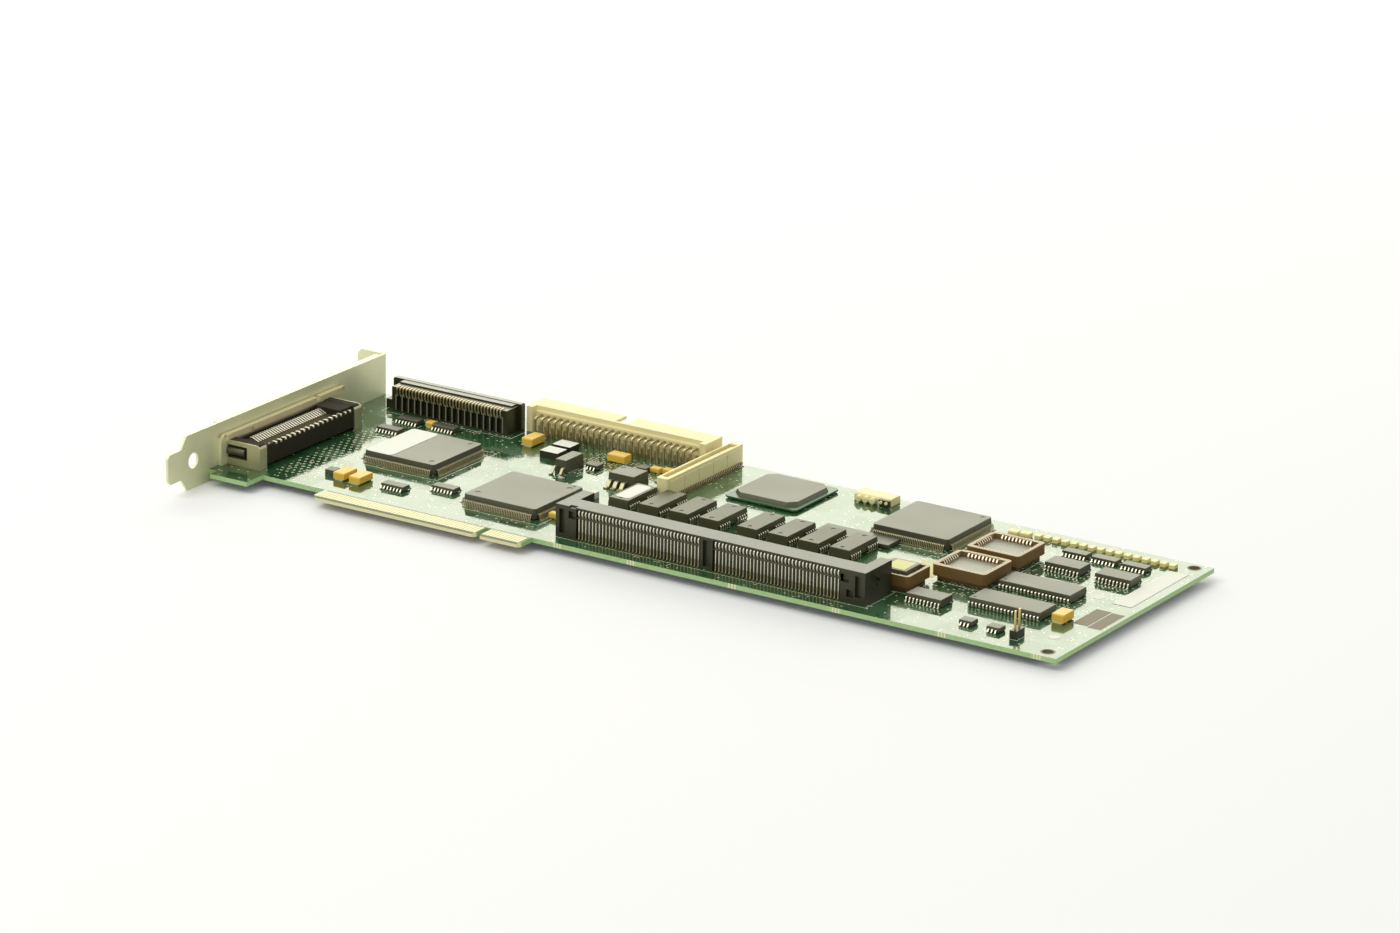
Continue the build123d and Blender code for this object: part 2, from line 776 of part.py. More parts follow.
def module_socket_body():
    """Long bar with a contact pocket per bank, a module slot at the rear and an arm at each end."""
    x_span = (socket_start, socket_end)
    rear = socket_near + socket_bar_depth
    body = block(x_span, (socket_near, rear), (0, socket_height))
    for arm_x in ((x_span[0], x_span[0] + socket_arm_width), (x_span[1] - socket_arm_width, x_span[1])):
        body += block(arm_x, (rear, socket_near + socket_arm_reach), (0, socket_height))
    left_bank, right_bank = socket_contact_places()
    for bank in (left_bank, right_bank):
        body -= block(
            (bank[0] - socket_pocket_margin, bank[-1] + socket_pocket_margin),
            (socket_near - cut_margin, socket_near + socket_pocket_depth),
            (-cut_margin, socket_pocket_top),
        )
    body -= block(
        (x_span[0] + socket_arm_width + socket_slot_inset, x_span[1] - socket_arm_width - socket_slot_inset),
        (rear - socket_slot_depth, rear + cut_margin),
        (socket_slot_floor, socket_slot_floor + socket_slot_height),
    )
    key_middle = (left_bank[-1] + right_bank[0]) / 2
    for origin, windows in ((x_span[0], left_windows), (x_span[1], right_windows), (key_middle, key_windows)):
        for low_x, high_x, low_z, high_z in windows:
            depth = (socket_near - cut_margin, socket_near + socket_window_depth)
            body -= block((origin + low_x, origin + high_x), depth, (low_z, high_z))
    body -= block(
        (x_span[0] + socket_notch[0], x_span[0] + socket_notch[1]),
        (socket_near - cut_margin, socket_near + socket_notch_depth),
        (socket_height - socket_notch_drop, socket_height + cut_margin),
    )
    side_slot = SlotOverall(side_slot_length, side_slot_width)
    side_outline = Plane.YZ * (Rot(0, 0, -side_slot_angle) * side_slot)
    side_cut = extrude(side_outline, amount=side_slot_depth + cut_margin)
    slot_x = x_span[1] - side_slot_depth
    return body - Pos(slot_x, socket_near + side_slot_place[0], side_slot_place[1]) * side_cut


def module_socket_contacts():
    """Upright contact strips, each with a foot turned out flat on the board."""
    near = socket_near + socket_contact_inset
    back = near + socket_contact_thickness
    outline = [
        (near - socket_foot_length, 0),
        (back, 0),
        (back, socket_contact_top),
        (near, socket_contact_top),
        (near, socket_contact_thickness),
        (near - socket_foot_length, socket_contact_thickness),
    ]
    contact = profile_along_x(outline, -socket_contact_width / 2, socket_contact_width)
    return [Pos(x, 0, 0) * contact for bank in socket_contact_places() for x in bank]


def quad_chip(centre):
    """A square flat pack body with small corner chamfers."""
    return Pos(*centre, 0) * moulded_body(quad_size, quad_size, quad_height, quad_corner)


def processor_substrate():
    """The laminate under the moulded cap of the ball grid chip, raised by the height of its balls."""
    plate = Rectangle(substrate_size, substrate_size)
    plate = chamfer(plate.vertices(), substrate_corner)
    return Pos(*substrate_centre, substrate_ball_gap) * extrude(plate, amount=substrate_thickness)


def processor_balls():
    """Rows of solder balls along the rim of the substrate, as short posts."""
    balls = []
    reach = substrate_size / 2 - processor_ball_inset
    last = processor_ball_row[-1]
    for row in processor_ball_row:
        for column in processor_ball_row:
            if 0 < row < last and 0 < column < last:
                continue
            x = substrate_centre[0] - reach + column * 2 * reach / last
            y = substrate_centre[1] - reach + row * 2 * reach / last
            balls.append(around((x, y), (processor_ball_size, processor_ball_size), substrate_ball_gap))
    return balls


def processor_cap():
    """The moulded cap with wide corner chamfers and sloping sides."""
    outline = Rectangle(mould_size, mould_size)
    outline = chamfer(outline.vertices(), mould_corner)
    floor = substrate_ball_gap + substrate_thickness
    return Pos(*substrate_centre, floor) * extrude(outline, amount=mould_height, taper=mould_draft)


def memory_chip_places():
    """Centres of the eight memory chips, two banks of four with a wider gap between them."""
    places = []
    second_bank = memory_first_x + len(memory_bank) * memory_pitch + memory_bank_gap
    for bank_start in (memory_first_x, second_bank):
        places += [(bank_start + index * memory_pitch, memory_y) for index in memory_bank]
    return places


def memory_chip(centre):
    """A body that lies along Y, with its leads along the two long sides."""
    body = moulded_body(memory_chip_width, memory_chip_length, memory_chip_height, gap=memory_seat_gap)
    return Pos(*centre, 0) * body


def chip_socket(centre, outer, well, slots, floor):
    """A frame on a smaller base, with a chamfered key corner and contact slots along its inner walls."""
    lift = chip_socket_base_height
    body = around((0, 0), outer, chip_socket_height - lift, lift)
    corners = body.edges().filter_by(Axis.Z).group_by(Axis.X)
    key_corner = corners[0].sort_by(Axis.Y)[-1]
    other_corners = [corners[0].sort_by(Axis.Y)[0], *corners[-1]]
    body = chamfer(key_corner, chip_socket_chamfer)
    upright_edges = body.edges().filter_by(Axis.Z)
    body = chamfer([edge for edge in upright_edges if is_at_corner(edge, other_corners)], chip_socket_corner)
    base_size = (outer[0] - 2 * chip_socket_base_inset, outer[1] - 2 * chip_socket_base_inset)
    body += around((0, 0), base_size, lift)
    body -= around((0, 0), well, chip_socket_height, floor)
    slot_floor = chip_socket_height - chip_socket_slot_drop
    along_x = (chip_socket_slot_width, well[1] + 2 * chip_socket_slot_depth)
    along_y = (well[0] + 2 * chip_socket_slot_depth, chip_socket_slot_width)
    for index in range(slots[0]):
        x = (index - (slots[0] - 1) / 2) * fine_pitch
        body -= around((x, 0), along_x, chip_socket_height, slot_floor)
    for index in range(slots[1]):
        y = (index - (slots[1] - 1) / 2) * fine_pitch
        body -= around((0, y), along_y, chip_socket_height, slot_floor)
    return Pos(*centre, 0) * body


def is_at_corner(edge, corners):
    """True where an upright edge stands on one of the given corners."""
    return any((edge.center() - corner.center()).length < chip_socket_corner for corner in corners)


def socketed_chip():
    """The square chip that sits in the side socket and stands a little above its rim."""
    body = moulded_body(socketed_chip_size, socketed_chip_size, socketed_chip_height)
    return Pos(*side_socket_centre, side_socket_floor - seat_gap) * body


def power_body(centre, size):
    """A power package body with a slightly narrowed top."""
    outline = Rectangle(size[0], size[1])
    return Pos(centre[0], centre[1], 0) * extrude(outline, amount=size[2], taper=power_draft)


def power_leads():
    """Wide bent leads of the regulator and the transistor, from their near sides to the board."""
    thickness = power_lead_thickness
    bend = power_lead_reach / 2
    outline = [
        (0, power_lead_height),
        (-bend, power_lead_height),
        (-power_lead_reach, thickness),
        (-power_lead_reach - power_lead_foot, thickness),
        (-power_lead_reach - power_lead_foot, 0),
        (-power_lead_reach + thickness / 2, 0),
        (-bend + thickness / 2, power_lead_height - thickness),
        (0, power_lead_height - thickness),
    ]
    near = regulator_centre[1] - regulator_size[1] / 2
    leads = []
    for index in regulator_leads:
        x = regulator_centre[0] + regulator_lead_offset + index * regulator_lead_pitch
        lead = profile_along_x(outline, x - regulator_lead_width / 2, regulator_lead_width)
        leads.append(Pos(0, near, 0) * lead)
    near = transistor_centre[1] - transistor_size[1] / 2
    for offset in (-transistor_lead_offset, transistor_lead_offset):
        x = transistor_centre[0] + offset
        lead = profile_along_x(outline, x - transistor_lead_width / 2, transistor_lead_width)
        leads.append(Pos(0, near, 0) * lead)
    return leads


def capacitor_bodies():
    """Moulded block capacitors with one bevelled top edge."""
    bodies = []
    for x, y, length, width, height in capacitor_blocks:
        body = around((x, y), (length, width), height - capacitor_terminal, capacitor_terminal)
        top_edge = body.edges().group_by(Axis.Z)[-1].sort_by(Axis.Y)[0]
        bodies.append(chamfer(top_edge, capacitor_edge))
    return bodies


def capacitor_terminals():
    """Flat end terminals folded under each block capacitor."""
    terminals = []
    for x, y, length, width, height in capacitor_blocks:
        along_x = length > width
        reach = (max(length, width) - capacitor_terminal_length) / 2
        if along_x:
            size = (capacitor_terminal_length, width * capacitor_terminal_cover)
        else:
            size = (length * capacitor_terminal_cover, capacitor_terminal_length)
        for side in (-1, 1):
            place = (x + side * reach, y) if along_x else (x, y + side * reach)
            terminals.append(around(place, size, capacitor_terminal))
    return terminals


def row_capacitors():
    """The row of small capacitors along the top edge."""
    bodies = []
    for index in row_capacitor_places:
        centre = (row_capacitor_start[0] + index * row_capacitor_pitch, row_capacitor_start[1])
        bodies.append(around(centre, row_capacitor_size[:2], row_capacitor_size[2]))
    return bodies


def jumper_header_base():
    """Base block of the two pin jumper, with a square hole for each pin."""
    base = around(jumper_centre, (header_pitch, 2 * header_pitch), jumper_base_height)
    for index in (-1, 1):
        y = jumper_centre[1] + index * header_pitch / 2
        base -= around((jumper_centre[0], y), (header_pin, header_pin), 2 * jumper_base_height, -cut_margin)
    return base


def jumper_header_pins():
    """Two straight square pins that stand in the jumper base."""
    pins = []
    for index in (-1, 1):
        y = jumper_centre[1] + index * header_pitch / 2
        pins.append(around((jumper_centre[0], y), (header_pin, header_pin), jumper_pin_height))
    return pins


def status_header():
    """Low right angle pin header by the top edge, with slots where its pins come out."""
    x_span = (status_header_start, status_header_start + status_header_length)
    body = block(x_span, status_header_y, (0, status_header_height))
    return chamfer(body.edges().filter_by(Axis.X).group_by(Axis.Z)[-1], 0.5)


def status_header_pins():
    """Bent pins on the near side of the status header."""
    pins = []
    half = header_pin / 2
    rear = status_header_y[0]
    near = rear - status_pin_reach
    top = status_pin_height + half
    low = status_pin_height - half
    bend = near + header_pin
    outline = [(rear, top), (near, top), (near, 0), (bend, 0), (bend, low), (rear, low)]
    for index in status_pins:
        x = status_header_start + status_first_pin + index * header_pitch
        pins.append(profile_along_x(outline, x - half, header_pin))
    return pins


save(circuit_board(), "circuit_board")
save(edge_fingers(0), "edge_fingers_component_side")
save(edge_fingers(-board_thickness - finger_thickness), "edge_fingers_solder_side")
save(mounting_bracket(), "mounting_bracket")
save(rear_connector_flange(), "rear_connector_shell")
save(rear_connector_body(), "rear_connector_body")
save([rear_connector_cover("near"), rear_connector_cover("far")], "rear_connector_covers")
save(rear_connector_jackscrews(), "rear_connector_jackscrews")
save(wide_connector_body(), "wide_connector_body")
save(wide_connector_contacts(), "wide_connector_contacts")
save(ribbon_header_shroud(), "ribbon_header_shroud")
save(ribbon_header_pins(), "ribbon_header_pins")
save(daughter_connector_body(), "daughter_connector_body")
save(module_socket_body(), "module_socket_body")
save(module_socket_contacts(), "module_socket_contacts")
for name, centre in quad_centres.items():
    save(quad_chip(centre), name)
save(processor_substrate(), "processor_substrate")
save(processor_balls(), "processor_solder_balls")
save(processor_cap(), "processor_cap")
for number, centre in enumerate(memory_chip_places(), start=1):
    save(memory_chip(centre), f"memory_chip_{number}")
for name, centre in static_chip_centres.items():
    save(Pos(*centre, 0) * moulded_body(static_chip_length, static_chip_width, static_chip_height), name)
wide_logic = moulded_body(wide_logic_length, wide_logic_width, wide_logic_height)
save([Pos(*centre, 0) * wide_logic for centre in wide_logic_centres], "wide_logic_chips")
narrow_logic = moulded_body(narrow_logic_length, narrow_logic_width, narrow_logic_height)
save([Pos(*centre, 0) * narrow_logic for centre in narrow_logic_centres], "narrow_logic_chips")
small_logic = moulded_body(small_logic_length, narrow_logic_width, narrow_logic_height)
save([Pos(*centre, 0) * small_logic for centre in small_logic_centres], "small_logic_chips")
socket_outer = (chip_socket_length, chip_socket_width)
for name, centre in chip_socket_centres.items():
    save(chip_socket(centre, socket_outer, chip_socket_well, chip_socket_slots, chip_socket_floor), name)
side_outer = (side_socket_size, side_socket_size)
side_well = (side_socket_well, side_socket_well)
side_socket = chip_socket(side_socket_centre, side_outer, side_well, side_socket_slots, side_socket_floor)
save(side_socket, "chip_socket_side")
save(socketed_chip(), "socketed_chip")
save(power_body(regulator_centre, regulator_size), "voltage_regulator")
save(power_body(transistor_centre, transistor_size), "power_transistor")
save(power_leads(), "power_leads")
inductors = [around(centre, inductor_size[:2], inductor_size[2]) for centre in inductor_centres]
save(inductors, "square_inductors")
thin_chip = Pos(*thin_chip_centre, 0) * moulded_body(*thin_chip_size)
save(thin_chip, "thin_flat_chip")
save(around(filter_block_centre, filter_block_size[:2], filter_block_size[2]), "ceramic_filter_block")
diodes = [around(centre, diode_size[:2], diode_size[2]) for centre in diode_centres]
save(diodes, "small_power_diode")
save(capacitor_bodies(), "block_capacitors")
save(capacitor_terminals(), "block_capacitor_terminals")
save(row_capacitors(), "row_capacitors")
chip_parts = [around(centre, chip_part_size[:2], chip_part_size[2]) for centre in chip_part_centres]
save(chip_parts, "chip_resistors")
save(jumper_header_base(), "jumper_header_base")
save(jumper_header_pins(), "jumper_header_pins")
save(status_header(), "status_header_body")
save(status_header_pins(), "status_header_pins")
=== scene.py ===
"""Dresses a raid controller card: finishes for its solid parts, and the fine leads, labels and contacts."""

import math

import bpy
from mathutils import Matrix, Vector


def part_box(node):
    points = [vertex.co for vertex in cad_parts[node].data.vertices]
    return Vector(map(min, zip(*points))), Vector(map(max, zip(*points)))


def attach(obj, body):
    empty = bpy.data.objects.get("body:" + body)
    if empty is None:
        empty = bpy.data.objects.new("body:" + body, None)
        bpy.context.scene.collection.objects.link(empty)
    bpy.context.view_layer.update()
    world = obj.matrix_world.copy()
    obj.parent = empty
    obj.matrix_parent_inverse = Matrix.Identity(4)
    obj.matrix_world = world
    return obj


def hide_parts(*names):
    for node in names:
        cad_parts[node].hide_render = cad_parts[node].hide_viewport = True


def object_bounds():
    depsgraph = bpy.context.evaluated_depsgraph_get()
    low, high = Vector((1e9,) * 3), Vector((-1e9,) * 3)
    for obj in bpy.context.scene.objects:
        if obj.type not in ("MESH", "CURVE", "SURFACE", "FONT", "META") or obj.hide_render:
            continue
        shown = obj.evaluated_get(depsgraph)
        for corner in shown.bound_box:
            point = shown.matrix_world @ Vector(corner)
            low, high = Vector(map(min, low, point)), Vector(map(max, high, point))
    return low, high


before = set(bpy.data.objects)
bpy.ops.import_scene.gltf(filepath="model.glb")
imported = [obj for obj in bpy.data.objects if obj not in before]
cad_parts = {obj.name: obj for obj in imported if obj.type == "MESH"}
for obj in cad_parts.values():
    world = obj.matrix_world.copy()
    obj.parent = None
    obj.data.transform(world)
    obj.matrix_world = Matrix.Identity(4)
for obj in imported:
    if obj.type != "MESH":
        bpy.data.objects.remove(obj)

bl_info = {
    "name": "Raid controller card",
    "version": (1, 0, 0),
    "blender": (4, 5, 0),
    "location": "View3D > Sidebar > Card",
    "description": "Builds the leads, contacts, labels and finishes of an expansion card",
    "category": "Object",
}

CAD_BOX = [list(corner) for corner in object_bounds()]

# Sizes and places are in millimetres, in the card's own frame
MM = 0.001
PITCH = 1.27
WIDE_PITCH = 2.54
RETAINER_HOLES = ((306.9, 11.1), (306.9, 103.1))
RING_RADIUS = 2.3

# Rounding of moulded blocks, of chips and thin walls, and of the print fields
MOULD_EDGE = 0.15
CHIP_EDGE = 0.12
PRINT_EDGE = 0.015

# Tint of the light that dark plastics return
WARM = (0.97, 0.98, 0.74, 1)


def settings():
    """The card's colours and the floor's gap, as set in the sidebar."""
    return bpy.context.scene.card_settings


def span(node):
    """The lowest and highest corner of a solid part, in millimetres."""
    low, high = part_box(node)
    return low / MM, high / MM


def middle_and_top(node):
    """The middle of a solid part in X and Y, and its top, in millimetres."""
    low, high = span(node)
    return (low.x + high.x) / 2, (low.y + high.y) / 2, high.z


# Modelling helpers


def choose(obj):
    """Makes one object the only selected and the active one."""
    bpy.ops.object.select_all(action="DESELECT")
    obj.select_set(True)
    bpy.context.view_layer.objects.active = obj


def select_where(obj, kind, test):
    """Enters edit mode with only those vertices or faces selected whose place and normal pass the test."""
    choose(obj)
    bpy.ops.object.mode_set(mode="EDIT")
    bpy.ops.mesh.select_mode(type=kind)
    bpy.ops.mesh.select_all(action="DESELECT")
    bpy.ops.object.mode_set(mode="OBJECT")
    if kind == "FACE":
        for face in obj.data.polygons:
            face.select = test(face.center / MM, face.normal)
    else:
        for vertex in obj.data.vertices:
            vertex.select = test(vertex.co / MM, vertex.normal)
    bpy.ops.object.mode_set(mode="EDIT")


def leave_edit():
    """Back to object mode."""
    bpy.ops.object.mode_set(mode="OBJECT")


def settle():
    """Puts the active object's place, turn and size into its mesh."""
    bpy.ops.object.transform_apply(location=True, rotation=True, scale=True)


def slab(low, high):
    """A block between two corners in millimetres, as a start for a piece."""
    bpy.ops.object.select_all(action="DESELECT")
    middle = [(start + end) / 2 * MM for start, end in zip(low, high)]
    bpy.ops.mesh.primitive_cube_add(size=1, location=middle)
    obj = bpy.context.active_object
    obj.scale = [(end - start) * MM for start, end in zip(low, high)]
    settle()
    return obj


def disc(centre, radius, depth, sides, axis="Z"):
    """A round block on a centre in millimetres, as a start for a piece or a cutter."""
    turn = {"Z": (0, 0, 0), "X": (0, math.pi / 2, 0), "Y": (math.pi / 2, 0, 0)}[axis]
    bpy.ops.object.select_all(action="DESELECT")
    place = [value * MM for value in centre]
    size = {"radius": radius * MM, "depth": depth * MM}
    bpy.ops.mesh.primitive_cylinder_add(vertices=sides, location=place, rotation=turn, **size)
    settle()
    return bpy.context.active_object


def modify(obj, kind, **values):
    """Adds a modifier with its values and applies it."""
    choose(obj)
    bpy.ops.object.modifier_add(type=kind)
    modifier = obj.modifiers[-1]
    for key, value in values.items():
        setattr(modifier, key, value)
    bpy.ops.object.modifier_apply(modifier=modifier.name)
    return obj


def bevel(obj, width, segments=2):
    """Rounds the edges that are sharper than 30 degrees."""
    sharp = {"limit_method": "ANGLE", "angle_limit": math.radians(30)}
    return modify(obj, "BEVEL", width=width * MM, segments=segments, **sharp)


def row(obj, count, pitch):
    """Repeats an object along X at a pitch."""
    offset = {"use_relative_offset": False, "use_constant_offset": True}
    return modify(obj, "ARRAY", count=count, constant_offset_displace=(pitch * MM, 0, 0), **offset)


def twin(obj, turn, move):
    """A copy with its own mesh, turned about Z and moved, in degrees and millimetres."""
    copy = obj.copy()
    copy.data = obj.data.copy()
    bpy.context.scene.collection.objects.link(copy)
    place = Matrix.Translation(Vector(move) * MM)
    copy.data.transform(place @ Matrix.Rotation(math.radians(turn), 4, "Z"))
    return copy


def join(objects):
    """Joins objects into the first of them."""
    bpy.ops.object.select_all(action="DESELECT")
    for obj in objects:
        obj.select_set(True)
    bpy.context.view_layer.objects.active = objects[0]
    if len(objects) > 1:
        bpy.ops.object.join()
    return bpy.context.active_object


def discard(obj):
    """Removes a helper object and its mesh."""
    mesh = obj.data
    bpy.data.objects.remove(obj)
    bpy.data.meshes.remove(mesh)


def moved(obj, turn, move):
    """A turned and moved copy, in place of the object itself."""
    copy = twin(obj, turn, move)
    discard(obj)
    return copy


def dimple(place, radius):
    """A cutter for a round mark 0.12 deep."""
    return disc(place, radius, 0.24, 20)


def sticker(low, high, corner):
    """A thin label with round corners."""
    label = slab(low, high)
    select_where(label, "VERT", lambda co, normal: False)
    bpy.ops.mesh.select_mode(type="EDGE")
    leave_edit()
    for edge in label.data.edges:
        ends = [label.data.vertices[index].co for index in edge.vertices]
        edge.select = abs(ends[0].x - ends[1].x) < 1e-7 and abs(ends[0].y - ends[1].y) < 1e-7
    bpy.ops.object.mode_set(mode="EDIT")
    bpy.ops.mesh.bevel(offset=corner * MM, segments=6, affect="EDGES")
    leave_edit()
    return label


def strip(width, thickness, path):
    """A bent metal strip: a flat start along Y, its end edge extruded point by point, then thickened."""
    (y_start, z_start), (y_next, z_next) = path[0], path[1]
    bpy.ops.object.select_all(action="DESELECT")
    bpy.ops.mesh.primitive_plane_add(size=1, location=(0, (y_start + y_next) / 2 * MM, z_start * MM))
    obj = bpy.context.active_object
    obj.scale = (width * MM, abs(y_next - y_start) * MM, 1)
    settle()
    select_where(obj, "VERT", lambda co, normal: abs(co.y - y_next) < 1e-4)
    for (y_from, z_from), (y_to, z_to) in zip(path[1:], path[2:]):
        move = (0, (y_to - y_from) * MM, (z_to - z_from) * MM)
        bpy.ops.mesh.extrude_region_move(TRANSFORM_OT_translate={"value": move})
    bpy.ops.mesh.select_all(action="SELECT")
    bpy.ops.mesh.normals_make_consistent(inside=False)
    leave_edit()
    return modify(obj, "SOLIDIFY", thickness=thickness * MM, offset=0.0, use_even_offset=True)


def carve(obj, cutters):
    """Cuts shallow marks or holes with helper blocks."""
    for cutter in cutters:
        modify(obj, "BOOLEAN", operation="DIFFERENCE", object=cutter, solver="EXACT")
        discard(cutter)
    return obj


def lead_frame(lead, count, pitch, half, centre, sides):
    """Rows of one lead round a chip body, with one row for the turn of each side."""
    lead = moved(row(lead, count, pitch), 0, (-(count - 1) / 2 * pitch, -half, 0))
    rows = [twin(lead, turn, (*centre, 0)) for turn in sides]
    discard(lead)
    return join(rows)


def solid_copy(node):
    """A merged copy of a solid part, ready to be rounded and carved."""
    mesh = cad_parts[node].data.copy()
    mesh.materials.clear()
    obj = bpy.data.objects.new(node + "_dressed", mesh)
    bpy.context.scene.collection.objects.link(obj)
    choose(obj)
    bpy.ops.object.mode_set(mode="EDIT")
    bpy.ops.mesh.select_all(action="SELECT")
    bpy.ops.mesh.remove_doubles(threshold=2e-6)
    bpy.ops.mesh.dissolve_limited(angle_limit=math.radians(0.5))
    bpy.ops.mesh.normals_make_consistent(inside=False)
    leave_edit()
    return obj


def complete(obj, name, material, replaces=()):
    """Names a finished piece, gives it its material and lets it ride on the card."""
    obj.name = name
    obj.data.name = name
    obj.data.materials.clear()
    obj.data.materials.append(material)
    choose(obj)
    bpy.ops.object.shade_smooth_by_angle(angle=math.radians(28))
    modify(obj, "WEIGHTED_NORMAL", mode="FACE_AREA", weight=100, keep_sharp=True)
    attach(obj, "root")
    if replaces:
        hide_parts(*replaces)
    return obj


def round_off(node, width, material, segments=2, cutters=()):
    """Replaces a solid part by a copy with rounded edges and, if given, carved marks."""
    obj = solid_copy(node)
    bevel(obj, width, segments)
    carve(obj, cutters)
    return complete(obj, node + "_dressed", material, (node,))


def repaint(obj, material, test):
    """Adds a material and gives it to the faces that pass the test."""
    obj.data.materials.append(material)
    for face in obj.data.polygons:
        if test(face):
            face.material_index = len(obj.data.materials) - 1


def recolor_solid(node, material):
    """Gives a solid part that stays as it is one material."""
    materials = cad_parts[node].data.materials
    materials.clear()
    materials.append(material)


# Shader helpers


class Graph:
    """Builds nodes in a tree and links their sockets."""

    def __init__(self, tree):
        self.tree = tree

    def node(self, kind, inputs=None, **values):
        made = self.tree.nodes.new(kind)
        for key, value in values.items():
            setattr(made, key, value)
        for key, value in (inputs or {}).items():
            self.feed(made.inputs[key], value)
        return made

    def feed(self, socket, value):
        if isinstance(value, bpy.types.NodeSocket):
            self.tree.links.new(value, socket)
        else:
            socket.default_value = value

    def math(self, operation, first, second=0.0, clamp=False):
        made = self.node("ShaderNodeMath", {0: first, 1: second}, operation=operation, use_clamp=clamp)
        return made.outputs[0]

    def plus(self, first, second):
        return self.math("ADD", first, second)

    def minus(self, first, second):
        return self.math("SUBTRACT", first, second)

    def times(self, first, second):
        return self.math("MULTIPLY", first, second)

    def mix(self, factor, first, second):
        made = self.node("ShaderNodeMix", data_type="RGBA")
        self.feed(made.inputs[0], factor)
        self.feed(made.inputs[6], first)
        self.feed(made.inputs[7], second)
        return made.outputs[2]

    def union(self, masks):
        whole = masks[0]
        for mask in masks[1:]:
            whole = self.math("MAXIMUM", whole, mask)
        return whole

    def vector(self, operation, first, second=(0, 0, 0)):
        made = self.node("ShaderNodeVectorMath", {0: first, 1: second}, operation=operation)
        return made.outputs[1 if operation == "LENGTH" else 0]

    def scaled(self, vector, factor):
        return self.node("ShaderNodeVectorMath", {0: vector, "Scale": factor}, operation="SCALE").outputs[0]

    def axes(self, vector):
        return self.node("ShaderNodeSeparateXYZ", {0: vector}).outputs

    def noise(self, vector, scale, detail=2.0, roughness=0.5):
        inputs = {"Vector": vector, "Scale": scale, "Detail": detail, "Roughness": roughness}
        return self.node("ShaderNodeTexNoise", inputs).outputs[0]

    def step(self, value, edge, soft):
        inputs = {0: value, 1: edge - soft, 2: edge + soft}
        return self.node("ShaderNodeMapRange", inputs, interpolation_type="SMOOTHSTEP").outputs[0]


def new_group(name, inputs, outputs):
    """A shader node group with named sockets, its graph, and its own inputs and outputs."""
    tree = bpy.data.node_groups.new(name, "ShaderNodeTree")
    for socket, kind, default in inputs:
        made = tree.interface.new_socket(name=socket, in_out="INPUT", socket_type=kind)
        if default is not None:
            made.default_value = default
    for socket, kind in outputs:
        tree.interface.new_socket(name=socket, in_out="OUTPUT", socket_type=kind)
    given = tree.nodes.new("NodeGroupInput").outputs
    return tree, Graph(tree), given, tree.nodes.new("NodeGroupOutput").inputs


def mottle_group():
    """Slight changes of shade and gloss over a surface, with a fine grain."""
    tree, graph, given, out = new_group(
        "mottled_surface",
        [
            ("Vector", "NodeSocketVector", None),
            ("Color", "NodeSocketColor", (0.5, 0.5, 0.5, 1)),
            ("Shade", "NodeSocketFloat", 0.1),
            ("Cloud Scale", "NodeSocketFloat", 60.0),
            ("Grain Scale", "NodeSocketFloat", 4000.0),
            ("Grain Depth", "NodeSocketFloat", 0.1),
            ("Roughness", "NodeSocketFloat", 0.5),
        ],
        [("Color", "NodeSocketColor"), ("Roughness", "NodeSocketFloat"), ("Normal", "NodeSocketVector")],
    )
    cloud = graph.noise(given["Vector"], given["Cloud Scale"], 4.0)
    grain = graph.noise(given["Vector"], given["Grain Scale"], 2.0, 0.6)
    centred = graph.minus(graph.plus(cloud, graph.times(grain, 0.4)), 0.7)
    factor = graph.plus(1.0, graph.times(centred, given["Shade"]))
    graph.feed(out["Color"], graph.scaled(given["Color"], factor))
    gloss = graph.plus(0.85, graph.times(cloud, 0.3))
    graph.feed(out["Roughness"], graph.times(given["Roughness"], gloss))
    relief = {"Strength": given["Grain Depth"], "Distance": 0.05 * MM, "Height": grain}
    graph.feed(out["Normal"], graph.node("ShaderNodeBump", relief).outputs[0])
    return tree


def rectangle_group():
    """A mask that is 1 inside a rectangle on the board, with slightly soft edges."""
    tree, graph, given, out = new_group(
        "board_rectangle",
        [
            ("Vector", "NodeSocketVector", None),
            ("Centre", "NodeSocketVector", None),
            ("Half Size", "NodeSocketVector", None),
            ("Softness", "NodeSocketFloat", 0.05),
        ],
        [("Mask", "NodeSocketFloat")],
    )
    away = graph.vector("ABSOLUTE", graph.vector("SUBTRACT", given["Vector"], given["Centre"]))
    inside = graph.axes(graph.vector("SUBTRACT", given["Half Size"], away))
    least = graph.math("MINIMUM", inside[0], inside[1])
    graph.feed(out["Mask"], graph.math("DIVIDE", least, given["Softness"], clamp=True))
    return tree


